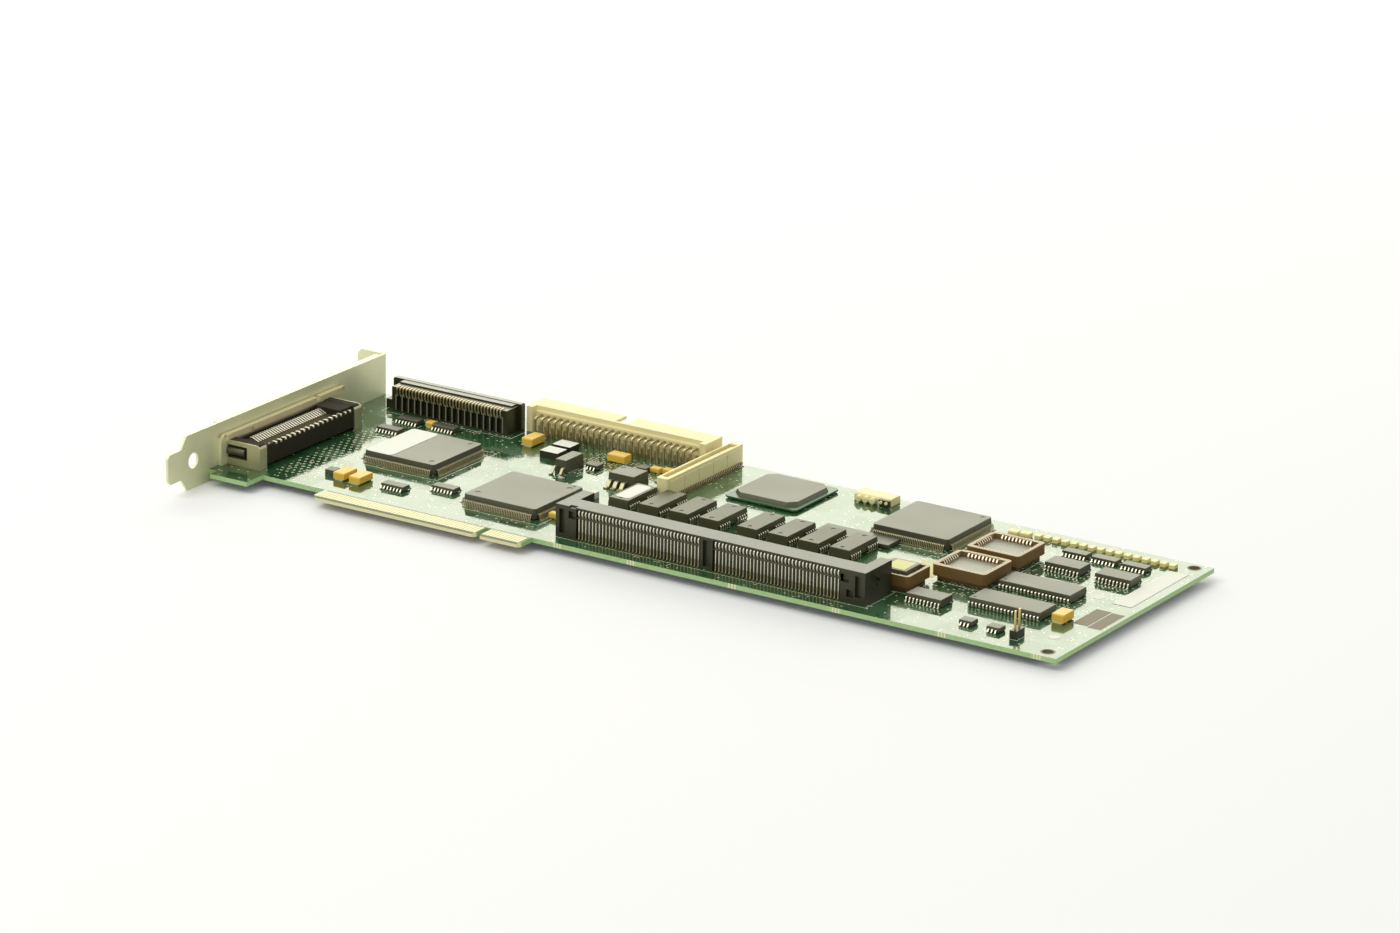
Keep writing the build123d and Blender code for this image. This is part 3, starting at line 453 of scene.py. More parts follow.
def tracks_group():
    """Bundles of parallel copper tracks under the lacquer, in cells that run along X, Y or a diagonal."""
    tree, graph, given, out = new_group(
        "copper_tracks",
        [
            ("Vector", "NodeSocketVector", None),
            ("Cell", "NodeSocketFloat", 9.0),
            ("Pitch", "NodeSocketFloat", 0.7),
        ],
        [("Tracks", "NodeSocketFloat"), ("Vias", "NodeSocketFloat"), ("Cloud", "NodeSocketFloat")],
    )
    axes = graph.axes(given["Vector"])
    spread = graph.scaled(given["Vector"], graph.math("DIVIDE", 1.0, given["Cell"]))
    cells = graph.node(
        "ShaderNodeTexVoronoi",
        {"Vector": spread, "Scale": 1.0, "Randomness": 0.85},
        voronoi_dimensions="2D",
        distance="CHEBYCHEV",
    )
    pick = graph.node("ShaderNodeSeparateColor", {0: cells.outputs["Color"]}).outputs
    diagonal = graph.plus(axes[0], axes[1])
    across = graph.mix(graph.step(pick[0], 0.42, 0.001), axes[0], axes[1])
    across = graph.mix(graph.step(pick[0], 0.8, 0.001), across, diagonal)
    phase = graph.math("FRACT", graph.math("DIVIDE", across, given["Pitch"]))
    ridge = graph.math("ABSOLUTE", graph.minus(phase, 0.5))
    line = graph.minus(1.0, graph.step(ridge, 0.19, 0.05))
    shown = graph.step(pick[1], 0.3, 0.001)
    graph.feed(out["Tracks"], graph.times(line, shown))
    grid = graph.scaled(given["Vector"], 1 / PITCH)
    whole = graph.vector("FLOOR", grid)
    chance = graph.node("ShaderNodeTexWhiteNoise", {"Vector": whole}, noise_dimensions="2D").outputs[0]
    centred = graph.vector("SUBTRACT", graph.vector("FRACTION", grid), (0.5, 0.5, 0.0))
    radius = graph.vector("LENGTH", graph.vector("MULTIPLY", centred, (1, 1, 0)))
    ring = graph.minus(1.0, graph.step(radius, 0.31, 0.05))
    graph.feed(out["Vias"], graph.times(ring, chance))
    graph.feed(out["Cloud"], graph.noise(given["Vector"], 0.05, 3.0))
    return tree


def group(name, maker):
    """The node group of that name, made the first time it is asked for."""
    return bpy.data.node_groups.get(name) or maker()


def start_material(name):
    """A material with its graph, its Principled shader and the object's own coordinates."""
    material = bpy.data.materials.new(name)
    material.use_nodes = True
    tree = material.node_tree
    graph = Graph(tree)
    shader = next(node for node in tree.nodes if node.type == "BSDF_PRINCIPLED")
    where = graph.node("ShaderNodeTexCoord").outputs["Object"]
    return material, graph, shader, where


def finish(name, color, roughness, shade, grain, grain_scale, cloud=60.0, level=0.5, tint=None, metallic=0.0):
    """A mottled material of one colour, with the shader's specular level, tint and metallic value."""
    known = bpy.data.materials.get(name)
    if known:
        return known
    material, graph, shader, where = start_material(name)
    surface = graph.node("ShaderNodeGroup", node_tree=group("mottled_surface", mottle_group))
    for key, value in {
        "Vector": where,
        "Color": (*color, 1),
        "Shade": shade,
        "Cloud Scale": cloud,
        "Grain Scale": grain_scale,
        "Grain Depth": grain,
        "Roughness": roughness,
    }.items():
        graph.feed(surface.inputs[key], value)
    for key in ("Roughness", "Normal"):
        graph.feed(shader.inputs[key], surface.outputs[key])
    graph.feed(shader.inputs["Base Color"], surface.outputs["Color"])
    shader.inputs["Specular IOR Level"].default_value = level
    shader.inputs["Metallic"].default_value = metallic
    if tint:
        shader.inputs["Specular Tint"].default_value = tint
    return material


def black_moulding():
    """Black connector plastic."""
    return finish("black_moulding", (0.020, 0.020, 0.010), 0.32, 0.5, 0.2, 2500.0, level=0.62, tint=WARM)


def chip_epoxy():
    """Dark moulding compound of chips, matt with a soft sheen at low angles."""
    return finish("chip_epoxy", (0.058, 0.057, 0.036), 0.40, 0.35, 0.3, 5000.0, level=0.90, tint=WARM)


def painted_sheen():
    """Painted sheen: a pale colour on the top faces of the wide connector, in place of the reflection they
    show.
    """
    return finish("painted_sheen", (0.36, 0.36, 0.27), 0.4, 0.25, 0.15, 2500.0, 220.0)


def memory_epoxy():
    """Olive grey epoxy of the memory chips."""
    return finish("memory_epoxy", (0.070, 0.068, 0.032), 0.42, 0.35, 0.3, 5000.0, level=0.58, tint=WARM)


def dull_moulding():
    """Black plastic of the rear connector, matt and slightly brown."""
    return finish("dull_moulding", (0.030, 0.026, 0.017), 0.75, 0.5, 0.3, 2500.0, level=0.12, tint=WARM)


def ivory_moulding():
    """Ivory connector plastic."""
    color = settings().ivory_color
    return finish("ivory_moulding", color, 0.5, 0.18, 0.12, 1500.0, level=0.4)


def tray_brown():
    """Dark brown floor between the rear connector's contacts."""
    return finish("tray_brown", (0.075, 0.058, 0.030), 0.75, 0.5, 0.3, 2500.0, 300.0, level=0.12)


def rib_painted_highlight():
    """Grey olive ribs of the wide connector, a painted highlight: lighter than the black plastic where their
    front edges catch the light.
    """
    return finish("rib_painted_highlight", (0.24, 0.24, 0.17), 0.5, 0.3, 0.2, 2500.0, 300.0)


def brown_moulding():
    """Brown chip socket plastic."""
    return finish("brown_moulding", (0.185, 0.105, 0.030), 0.42, 0.35, 0.15, 2500.0)


def socket_rim_sheen():
    """Painted sheen: a pale pinkish colour on the top face of the chip sockets, where the brown plastic
    catches the light.
    """
    return finish("socket_rim_sheen", (0.56, 0.46, 0.29), 0.5, 0.3, 0.2, 2500.0, 220.0)


def socket_floor_sheen():
    """Painted sheen: a grey colour on the floor inside the chip sockets, where it catches the light."""
    return finish("socket_floor_sheen", (0.42, 0.42, 0.32), 0.45, 0.3, 0.2, 2500.0, 220.0)


def tinned():
    """Tinned leads, soft silver."""
    return finish("tinned_metal", (0.70, 0.67, 0.52), 0.3, 0.4, 0.2, 3000.0, 900.0, metallic=0.65)


def gold():
    """Thin gold plating."""
    return finish("gold_plating", (0.74, 0.57, 0.26), 0.28, 0.35, 0.15, 3000.0, 700.0, metallic=0.92)


def pale_gold():
    """Worn pale gold of the card's edge fingers."""
    return finish("finger_plating", (0.66, 0.61, 0.38), 0.5, 0.25, 0.15, 3000.0, 500.0, metallic=0.6)


def bright_tin_and_highlight():
    """Bright tin of the rear connector's fine contacts, and a painted highlight on the folded leads' faces
    that look up.
    """
    return finish("bright_tin_and_highlight", (0.95, 0.93, 0.76), 0.3, 0.25, 0.15, 3000.0, 900.0, metallic=0.25)


def fine_leads():
    """Dull tin of close leads, its dark tone partly painted shade where the leads shade each other."""
    return finish("fine_leads", (0.48, 0.44, 0.26), 0.36, 0.4, 0.2, 3000.0, 900.0, metallic=0.6)


def spring_plate():
    """Pinkish tin of the chip sockets' springs."""
    return finish("spring_plate", (0.80, 0.68, 0.50), 0.34, 0.3, 0.2, 3000.0, 900.0, metallic=0.5)


def dark_steel():
    """Dark screws behind the end covers."""
    return finish("dark_steel", (0.13, 0.12, 0.08), 0.38, 0.4, 0.2, 2500.0, 500.0, metallic=0.6)


def hole_lining():
    """Bare olive laminate round the retainer holes."""
    return finish("hole_lining", (0.27, 0.24, 0.13), 0.55, 0.4, 0.3, 2500.0, 700.0, level=0.3)


def brass_pins():
    """Dull brass of bent pins, tails and feet."""
    return finish("brass_pins", (0.44, 0.38, 0.22), 0.32, 0.45, 0.2, 3000.0, 700.0, metallic=0.9)


def plated_steel():
    """Dull plated steel of the bracket and shells."""
    color = settings().bracket_color
    return finish("plated_steel", color, 0.42, 0.22, 0.25, 1800.0, 90.0, metallic=0.35)


def cream_plate():
    """Bright cream plating of the rear connector's clip strip."""
    return finish("cream_plate", (0.72, 0.64, 0.38), 0.45, 0.25, 0.2, 1800.0, 150.0, metallic=0.15)


def olive_plate():
    """Yellowish passivated plate of the end covers and screws, also the painted shadow band under the clip
    strip.
    """
    return finish("olive_plate", (0.46, 0.44, 0.26), 0.36, 0.4, 0.25, 1800.0, 200.0, metallic=0.6)


def amber_resin():
    """Yellow resin of the block capacitors."""
    return finish("amber_resin", (0.90, 0.57, 0.075), 0.42, 0.25, 0.2, 2500.0, 300.0)


def pale_resin_and_highlight():
    """Pale yellow resin of the small capacitors by the top edge, also used as a painted highlight on the
    block capacitors at the far corner.
    """
    return finish("pale_resin_and_highlight", (0.92, 0.82, 0.38), 0.45, 0.3, 0.2, 2500.0, 400.0)


def label_paper():
    """White of labels, alignment marks and inductor tops."""
    return finish("label_paper", (0.88, 0.88, 0.80), 0.6, 0.06, 0.1, 2000.0, 120.0, level=0.3)


def yellow_paper():
    """Pale yellow label stock."""
    return finish("yellow_paper", (0.80, 0.77, 0.36), 0.6, 0.1, 0.1, 2000.0, 200.0, level=0.3)


def taupe_print():
    """Matt grey brown paint of the two bare fields at the far end of the board."""
    return finish("taupe_print", (0.30, 0.27, 0.19), 0.65, 0.15, 0.2, 2500.0, 300.0, level=0.2)


def white_ceramic():
    """White ceramic of small parts."""
    return finish("white_ceramic", (0.72, 0.69, 0.56), 0.45, 0.15, 0.1, 2500.0, 300.0)


def green_laminate():
    """Green laminate under the processor's cap."""
    return finish("green_laminate", (0.05, 0.14, 0.05), 0.3, 0.3, 0.2, 3000.0)


# Centre and half size of the printed outlines round the large parts
SILK_OUTLINES = (
    ((35.5, 95.4), (26.2, 10.9)),
    ((184.8, 20.9), (57.9, 8.9)),
    ((49.6, 52.2), (17.2, 17.2)),
    ((101.1, 34.8), (17.2, 17.2)),
    ((222.5, 85.8), (17.2, 17.2)),
    ((255.0, 55.0), (10.2, 9.3)),
    ((255.0, 75.8), (10.2, 9.3)),
    ((239.4, 37.9), (7.7, 7.7)),
    ((96.3, 101.0), (36.4, 5.6)),
    ((179.9, 53.4), (55.5, 10.4)),
    ((292.7, 17.3), (2.0, 3.4)),
)
SILK_WIDTH = 0.22

# Centre, half size and softness of the fields with many vias, and the share of vias there
VIA_FIELDS = (
    ((40, 88), (14, 7), 2.0, 1.0),
    ((108, 78), (16, 14), 4.0, 1.0),
    ((265, 66), (40, 32), 8.0, 0.45),
)
PAD_FIELD = ((25.5, 40), (8.0, 27), 0.1)
PAD_PITCH = 2.3
FINGER_TAB = ((84.6, 3.3), (40.5, 3.6))
FINGER_TIPS = ((84.6, 0.3), (40.6, 0.8))
HOLE_FIELD = (RING_RADIUS, RING_RADIUS)

# Copper stubs that show at the board's near edge
EDGE_STUBS = (132.6, 160.6, 197.6, 235.4, 272.7, 305.1)
STUB_Y = 8.2
STUB_FIELD = (1.7, 1.4)
STUB_PITCH = 1.1

TRACK_GREEN = (0.06, 0.19, 0.07, 1)
CLOUD_GREEN = (0.03, 0.09, 0.035, 1)
VIA_TIN = (0.72, 0.71, 0.56, 1)
PAD_TIN = (0.78, 0.77, 0.62, 1)
SILK_WHITE = (0.72, 0.74, 0.60, 1)
TAB_OLIVE = (0.10, 0.12, 0.05, 1)
LAMINATE_DARK = (0.22, 0.42, 0.13, 1)
LAMINATE_PALE = (0.45, 0.62, 0.30, 1)
HOLE_BROWN = (0.15, 0.12, 0.055, 1)
TIP_CREAM = (0.72, 0.66, 0.38, 1)
STUB_GOLD = (0.80, 0.76, 0.45, 1)
LACQUER_TINT = (0.93, 1.0, 0.82, 1)


def board_field(graph, place, centre, half, soft=0.05):
    """A mask of one rectangle on the board."""
    inputs = {"Vector": place, "Centre": (*centre, 0), "Half Size": (*half, 100), "Softness": soft}
    tree = group("board_rectangle", rectangle_group)
    return graph.node("ShaderNodeGroup", inputs, node_tree=tree).outputs[0]


def pad_rows(graph, place):
    """A mask of the staggered rings in the field beside the rear connector."""
    axes = graph.axes(graph.scaled(place, 1 / PAD_PITCH))
    shift = graph.times(graph.math("FLOOR", axes[1]), 0.5)
    across = graph.minus(graph.math("FRACT", graph.plus(axes[0], shift)), 0.5)
    along = graph.minus(graph.math("FRACT", axes[1]), 0.5)
    squares = graph.plus(graph.math("POWER", across, 2.0), graph.math("POWER", along, 2.0))
    away = graph.math("SQRT", squares)
    pads = graph.minus(1.0, graph.step(away, 0.21, 0.02))
    pads = graph.times(pads, graph.math("GREATER_THAN", away, 0.09))
    return graph.times(pads, board_field(graph, place, *PAD_FIELD))


def silk_lines(graph, place):
    """A mask of the printed outlines."""
    lines = []
    for centre, (half_x, half_y) in SILK_OUTLINES:
        outer = board_field(graph, place, centre, (half_x, half_y), 0.02)
        inner = board_field(graph, place, centre, (half_x - SILK_WIDTH, half_y - SILK_WIDTH), 0.02)
        lines.append(graph.minus(outer, inner))
    return graph.union(lines)


def edge_color(graph, where, place):
    """Pale green laminate of the board's edges, with cream finger tips, stubs and dark hole walls."""
    color = graph.mix(graph.noise(where, 1500.0, 3.0), LAMINATE_DARK, LAMINATE_PALE)
    holes = graph.union([board_field(graph, place, centre, HOLE_FIELD) for centre in RETAINER_HOLES])
    color = graph.mix(holes, color, HOLE_BROWN)
    color = graph.mix(board_field(graph, place, *FINGER_TIPS), color, TIP_CREAM)
    stubs = graph.union([board_field(graph, place, (x, STUB_Y), STUB_FIELD) for x in EDGE_STUBS])
    phase = graph.math("FRACT", graph.math("DIVIDE", graph.axes(place)[0], STUB_PITCH))
    stripes = graph.math("GREATER_THAN", phase, 0.45)
    return graph.mix(graph.times(stubs, stripes), color, STUB_GOLD)


def board_lacquer():
    """Glossy green lacquer with tracks, vias and printed fields, on a pale laminate edge."""
    material, graph, shader, where = start_material("board_lacquer")
    place = graph.scaled(where, 1 / MM)
    tracks = graph.node("ShaderNodeGroup", {"Vector": place}, node_tree=group("copper_tracks", tracks_group))
    lines, chance, cloud = tracks.outputs["Tracks"], tracks.outputs["Vias"], tracks.outputs["Cloud"]
    color = graph.mix(graph.times(lines, 0.85), (*settings().board_color, 1), TRACK_GREEN)
    color = graph.mix(graph.times(cloud, 0.5), color, CLOUD_GREEN)
    fields = []
    for *rectangle, share in VIA_FIELDS:
        fields.append(graph.times(board_field(graph, place, *rectangle), share))
    threshold = graph.minus(0.93, graph.times(graph.union(fields), 0.62))
    vias = graph.math("GREATER_THAN", chance, threshold)
    color = graph.mix(vias, color, VIA_TIN)
    pads = pad_rows(graph, place)
    color = graph.mix(pads, color, PAD_TIN)
    vias = graph.math("MAXIMUM", vias, pads)
    silk = silk_lines(graph, place)
    color = graph.mix(silk, color, SILK_WHITE)
    tab = board_field(graph, place, *FINGER_TAB)
    color = graph.mix(tab, color, TAB_OLIVE)
    upright = graph.axes(graph.node("ShaderNodeNewGeometry").outputs["Normal"])[2]
    flat = graph.math("GREATER_THAN", graph.math("ABSOLUTE", upright), 0.6)
    color = graph.mix(flat, edge_color(graph, where, place), color)
    graph.feed(shader.inputs["Base Color"], color)
    bare = graph.union([silk, tab, graph.minus(1.0, flat)])
    rough = graph.plus(0.07, graph.times(bare, 0.45))
    rough = graph.plus(rough, graph.times(vias, 0.12))
    graph.feed(shader.inputs["Roughness"], rough)
    height = graph.plus(graph.times(lines, 0.5), graph.noise(where, 500.0, 3.0))
    height = graph.plus(height, graph.times(vias, 0.8))
    bump = graph.node("ShaderNodeBump", {"Strength": 0.5, "Distance": 0.04 * MM, "Height": height})
    graph.feed(shader.inputs["Normal"], bump.outputs[0])
    for socket, value in {"IOR": 1.9, "Specular IOR Level": 0.66, "Specular Tint": LACQUER_TINT}.items():
        shader.inputs[socket].default_value = value
    return material


# Settings and stage


class CardSettings(bpy.types.PropertyGroup):
    """Colours of the card and the floor's place."""

    board_color: bpy.props.FloatVectorProperty(
        name="Board colour",
        description="Green lacquer of the board",
        subtype="COLOR",
        default=(0.018, 0.075, 0.024),
    )
    ivory_color: bpy.props.FloatVectorProperty(
        name="Ivory colour",
        description="Pale connector plastic",
        subtype="COLOR",
        default=(0.92, 0.83, 0.45),
    )
    bracket_color: bpy.props.FloatVectorProperty(
        name="Bracket colour",
        description="Plated steel of the bracket",
        subtype="COLOR",
        default=(0.76, 0.77, 0.50),
    )
    floor_gap: bpy.props.FloatProperty(
        name="Floor gap",
        description="Space between the lowest solid and the floor",
        default=0.00005,
        unit="LENGTH",
    )


# Places of the stage are in metres
AIM = (0.15, 0.05, 0)
FLOOR_RADIUS = 6.0

# Place, width, height, watts and colour of each soft box
LAMPS = {
    "key_light": ((-0.5, -0.9, 1.5), 1.2, 1.2, 11.0, (1.0, 0.99, 0.93)),
    "back_light": ((-0.95, 1.55, 0.85), 2.8, 1.3, 25.0, (1.0, 0.99, 0.82)),
}

# Camera fitted to the photograph, with turn, rise and roll in degrees, and lens and shift in pixels
CAMERA_PLACE = (1.1010, -1.4305, 0.6046)
CAMERA_ANGLES = (32.715, 18.962, 0.956)
FOCAL_PIXELS = 5864.4
SHIFT_PIXELS = (22.04, 50.97)
PHOTO_WIDTH = 1400.0
SENSOR_WIDTH = 36.0


class CARD_OT_stage(bpy.types.Operator):
    """Floor, lights and camera"""

    bl_idname = "card.stage"
    bl_label = "Stage"

    def execute(self, context):
        scene = context.scene
        scene.view_settings.view_transform = "Standard"
        self.add_floor()
        self.light_world(scene)
        for name, values in LAMPS.items():
            self.add_lamp(scene, name, *values)
        self.add_camera(scene)
        return {"FINISHED"}

    def add_floor(self):
        """A wide pale floor just under the lowest solid, slightly lit where the camera looks."""
        low = CAD_BOX[0][2] - settings().floor_gap
        bpy.ops.object.select_all(action="DESELECT")
        place = (AIM[0], AIM[1], low)
        bpy.ops.mesh.primitive_circle_add(vertices=96, radius=FLOOR_RADIUS, fill_type="NGON", location=place)
        floor = bpy.context.active_object
        settle()
        floor.name = "studio_floor"
        material, graph, shader, where = start_material("studio_white")
        color = graph.mix(graph.noise(where, 3.0, 2.0), (0.93, 0.93, 0.94, 1), (0.96, 0.96, 0.97, 1))
        seen = graph.node("ShaderNodeLightPath").outputs["Is Camera Ray"]
        glow = graph.mix(seen, (0.0, 0.0, 0.0, 1), (0.035, 0.035, 0.045, 1))
        graph.feed(shader.inputs["Base Color"], graph.mix(seen, color, (0.99, 0.99, 1.0, 1)))
        graph.feed(shader.inputs["Emission Color"], glow)
        for socket, value in {"Emission Strength": 1.0, "Roughness": 0.9, "Specular IOR Level": 0.0}.items():
            shader.inputs[socket].default_value = value
        floor.data.materials.append(material)

    def light_world(self, scene):
        """An even pale sky, white where the camera looks."""
        world = bpy.data.worlds.new("studio_sky")
        world.use_nodes = True
        scene.world = world
        graph = Graph(world.node_tree)
        sky = next(node for node in world.node_tree.nodes if node.type == "BACKGROUND")
        path = graph.node("ShaderNodeLightPath").outputs
        seen = graph.union([path["Is Camera Ray"], path["Is Glossy Ray"], path["Is Transmission Ray"]])
        graph.feed(sky.inputs["Color"], graph.mix(seen, (0.98, 0.98, 0.94, 1), (1, 1, 1, 1)))
        graph.feed(sky.inputs["Strength"], graph.plus(0.60, graph.times(seen, 0.40)))

    def add_lamp(self, scene, name, place, width, height, power, color):
        """A soft box that faces the middle of the card and isn't seen itself."""
        lamp = bpy.data.lights.new(name, "AREA")
        lamp.shape = "RECTANGLE"
        lamp.size = width
        lamp.size_y = height
        lamp.energy = power
        lamp.color = color
        holder = bpy.data.objects.new(name, lamp)
        holder.location = place
        aim = Vector(AIM) - Vector(place)
        holder.rotation_euler = aim.to_track_quat("-Z", "Y").to_euler()
        holder.visible_camera = False
        scene.collection.objects.link(holder)

    def add_camera(self, scene):
        """The camera at the photograph's place, fitted to the card's outline and holes."""
        turn, rise, roll = (math.radians(value) for value in CAMERA_ANGLES)
        back = Vector((math.sin(turn) * math.cos(rise), -math.cos(turn) * math.cos(rise), math.sin(rise)))
        right = Vector((math.cos(turn), math.sin(turn), 0))
        up = back.cross(right)
        tilted_right = right * math.cos(roll) + up * math.sin(roll)
        tilted_up = up * math.cos(roll) - right * math.sin(roll)
        lens = bpy.data.cameras.new("camera")
        lens.sensor_width = SENSOR_WIDTH
        lens.lens = FOCAL_PIXELS * SENSOR_WIDTH / PHOTO_WIDTH
        lens.shift_x = SHIFT_PIXELS[0] / PHOTO_WIDTH
        lens.shift_y = SHIFT_PIXELS[1] / PHOTO_WIDTH
        lens.clip_start = 0.05
        holder = bpy.data.objects.new("camera", lens)
        axes = Matrix((tilted_right, tilted_up, back)).transposed().to_4x4()
        axes.translation = Vector(CAMERA_PLACE)
        holder.matrix_world = axes
        scene.collection.objects.link(holder)
        scene.camera = holder


# Board and bracket

BOARD_LABEL = ((301.9, 59.6, 0.0), (308.6, 96.2, 0.12))
ALIGNMENT_MARKS = ((295.7, 62.4), (302.1, 23.3))
TAUPE_FIELDS = (((300.5, 37.3, 0.0), (305.7, 52.5, 0.03)), ((306.1, 36.6, 0.0), (310.6, 52.0, 0.03)))
YELLOW_FIELD = ((234.5, 47.5, 0.0), (245.0, 60.5, 0.03))


class CARD_OT_board(bpy.types.Operator):
    """Board finish, gold fingers, label, hole rings, alignment marks and print fields"""

    bl_idname = "card.board"
    bl_label = "Board"

    def execute(self, context):
        recolor_solid("circuit_board", board_lacquer())
        recolor_solid("edge_fingers_component_side", pale_gold())
        recolor_solid("edge_fingers_solder_side", pale_gold())
        complete(bevel(slab(*BOARD_LABEL), 0.05, 1), "board_sticker", label_paper())
        rings = []
        for x, y in RETAINER_HOLES:
            ring = disc((x, y, 0.02), RING_RADIUS, 0.04, 32)
            rings.append(carve(ring, [disc((x, y, 0.0), 1.75, 1.0, 32)]))
        complete(join(rings), "retainer_hole_rings", hole_lining())
        discs = []
        for x, y in ALIGNMENT_MARKS:
            pad = disc((x, y, 0.03), 1.9, 0.06, 28)
            select_where(pad, "FACE", lambda co, normal: normal.z > 0.9)
            bpy.ops.mesh.inset(thickness=0.35 * MM, depth=0.0)
            bpy.ops.mesh.inset(thickness=0.1 * MM, depth=0.03 * MM)
            leave_edit()
            discs.append(pad)
        complete(join(discs), "alignment_discs", label_paper())
        fields = join([slab(low, high) for low, high in TAUPE_FIELDS])
        complete(bevel(fields, PRINT_EDGE, 1), "bare_print_fields", taupe_print())
        complete(bevel(slab(*YELLOW_FIELD), PRINT_EDGE, 1), "pale_print_field", yellow_paper())
        return {"FINISHED"}


class CARD_OT_bracket(bpy.types.Operator):
    """Slot bracket"""

    bl_idname = "card.bracket"
    bl_label = "Bracket"

    def execute(self, context):
        round_off("mounting_bracket", 0.18, plated_steel())
        return {"FINISHED"}


# Rear connector, with contact paths as pairs of reach and height

REAR_MIDDLE = 39.5
END_BLOCK = ((2.8, 55.6, 6.2), (13.4, 62.1, 8.25))
CLIP_STRIP = ((0.3, 9.0, 8.0), (2.3, 72.4, 10.2))
CLIP_NOTCHES = (((0.0, 21.4, 7.9), (2.6, 23.2, 9.3)), ((0.0, 58.0, 8.9), (2.6, 59.8, 10.6)))
CLIP_LOOPS = ((1.4, 8.4, 9.2), (1.4, 73.2, 9.0))
# The shade band is a painted shadow: a darker slab standing for the shade under the clip strip.
SHADE_BAND = ((1.5, 13.8, 7.3), (2.2, 62.0, 8.05))
FINE_CONTACT = [(-4.4, 7.35), (-5.4, 7.3), (-7.2, 6.5), (-7.9, 6.35)]
WIDE_CONTACT = [(-11.4, 6.35), (-11.9, 6.45), (-13.0, 7.5), (-14.2, 7.55), (-14.45, 7.35), (-14.45, 6.9)]


class CARD_OT_rear_connector(bpy.types.Operator):
    """Rear connector with its shell, covers, screws and contacts"""

    bl_idname = "card.rear_connector"
    bl_label = "Rear connector"

    def execute(self, context):
        round_off("rear_connector_shell", CHIP_EDGE, plated_steel())
        body = round_off("rear_connector_body", MOULD_EDGE, dull_moulding())
        repaint(body, tray_brown(), lambda face: face.normal.z > 0.9 and 5.9 < face.center.z / MM < 6.5)
        round_off("rear_connector_covers", 0.08, olive_plate())
        round_off("rear_connector_jackscrews", 0.1, dark_steel())
        complete(bevel(slab(*END_BLOCK), 0.3, 3), "rear_connector_end_block", dull_moulding())
        self.add_clip_strip()
        fine = strip(0.36, 0.2, FINE_CONTACT)
        wide = strip(0.8, 0.25, WIDE_CONTACT)
        for contact, count, pitch, name, material in (
            (fine, 34, PITCH, "rear_connector_fine_contacts", bright_tin_and_highlight()),
            (wide, 17, WIDE_PITCH, "rear_connector_contacts", tinned()),
        ):
            row(contact, count, pitch)
            contact = moved(contact, 90, (0, REAR_MIDDLE - (count - 1) / 2 * pitch, 0))
            complete(contact, name, material)
        return {"FINISHED"}

    def add_clip_strip(self):
        """The bright strip above the shell, with two clip notches and a small loop at each end."""
        clip = bevel(slab(*CLIP_STRIP), 0.15, 2)
        carve(clip, [slab(low, high) for low, high in CLIP_NOTCHES])
        loops = []
        for place in CLIP_LOOPS:
            loop = disc(place, 1.35, 1.1, 20, "X")
            carve(loop, [disc(place, 0.65, 3.0, 16, "X")])
            loops.append(bevel(loop, 0.15, 2))
        complete(join([clip, *loops]), "rear_connector_clip_strip", cream_plate())
        # Painted shadow: a darker slab under the strip, standing for its shade.
        complete(bevel(slab(*SHADE_BAND), 0.1, 1), "rear_connector_shade_band", olive_plate())


# Connectors at the top edge


class CARD_OT_wide_connector(bpy.types.Operator):
    """Wide drive connector at the top edge"""

    bl_idname = "card.wide_connector"
    bl_label = "Wide connector"

    def execute(self, context):
        body = round_off("wide_connector_body", CHIP_EDGE, black_moulding())
        # Painted sheen: the large top faces of the connector body get a pale colour for their reflection.
        repaint(body, painted_sheen(), lambda face: face.normal.z > 0.95 and face.area > 40.0 * MM * MM)
        name = "wide_connector_contacts"
        front = span("wide_connector_body")[0].y
        start = middle_and_top(name)[0] - 33 / 2 * PITCH
        bend = ((1.9, 8.66), (0.4, 8.66), (-0.1, 8.45), (-0.32, 7.9), (-0.32, 6.7), (0.2, 5.6), (0.9, 5.1))
        lead = strip(0.55, 0.28, [(front + reach, height) for reach, height in bend])
        leads = moved(row(lead, 34, PITCH), 0, (start, 0, 0))
        complete(leads, "wide_connector_gold_leads", brass_pins(), (name,))
        rib = bevel(slab((-0.2, front - 0.1, 0.5), (0.2, front + 0.05, 6.0)), 0.05, 1)
        ribs = moved(row(rib, 18, WIDE_PITCH), 0, (start - PITCH / 2, 0, 0))
        # The ribs' grey olive is a painted highlight on their front edges.
        complete(ribs, "wide_connector_ribs", rib_painted_highlight())
        return {"FINISHED"}


class CARD_OT_ribbon_header(bpy.types.Operator):
    """Ribbon cable header"""

    bl_idname = "card.ribbon_header"
    bl_label = "Ribbon header"

    def execute(self, context):
        round_off("ribbon_header_shroud", 0.2, ivory_moulding())
        name = "ribbon_header_pins"
        rear, half = span(name)[1].y, 0.32
        first = middle_and_top("ribbon_header_shroud")[0] + 0.5 - 12 * WIDE_PITCH
        rows = []
        for reach, height in ((4.6, 6.2), (4.6 - WIDE_PITCH, 6.2 - WIDE_PITCH)):
            y = rear - reach + half
            bend = [(rear, height), (y + 0.9, height), (y + 0.25, height - 0.25), (y, height - 0.9), (y, 0.0)]
            mate = slab((-half, rear + 1.9, height - half), (half, rear + 7.3, height + half))
            for pin in (strip(2 * half, 2 * half, bend), bevel(mate, 0.1, 1)):
                rows.append(moved(row(pin, 25, WIDE_PITCH), 0, (first, 0, 0)))
        complete(join(rows), "ribbon_header_bent_pins", brass_pins(), (name,))
        return {"FINISHED"}


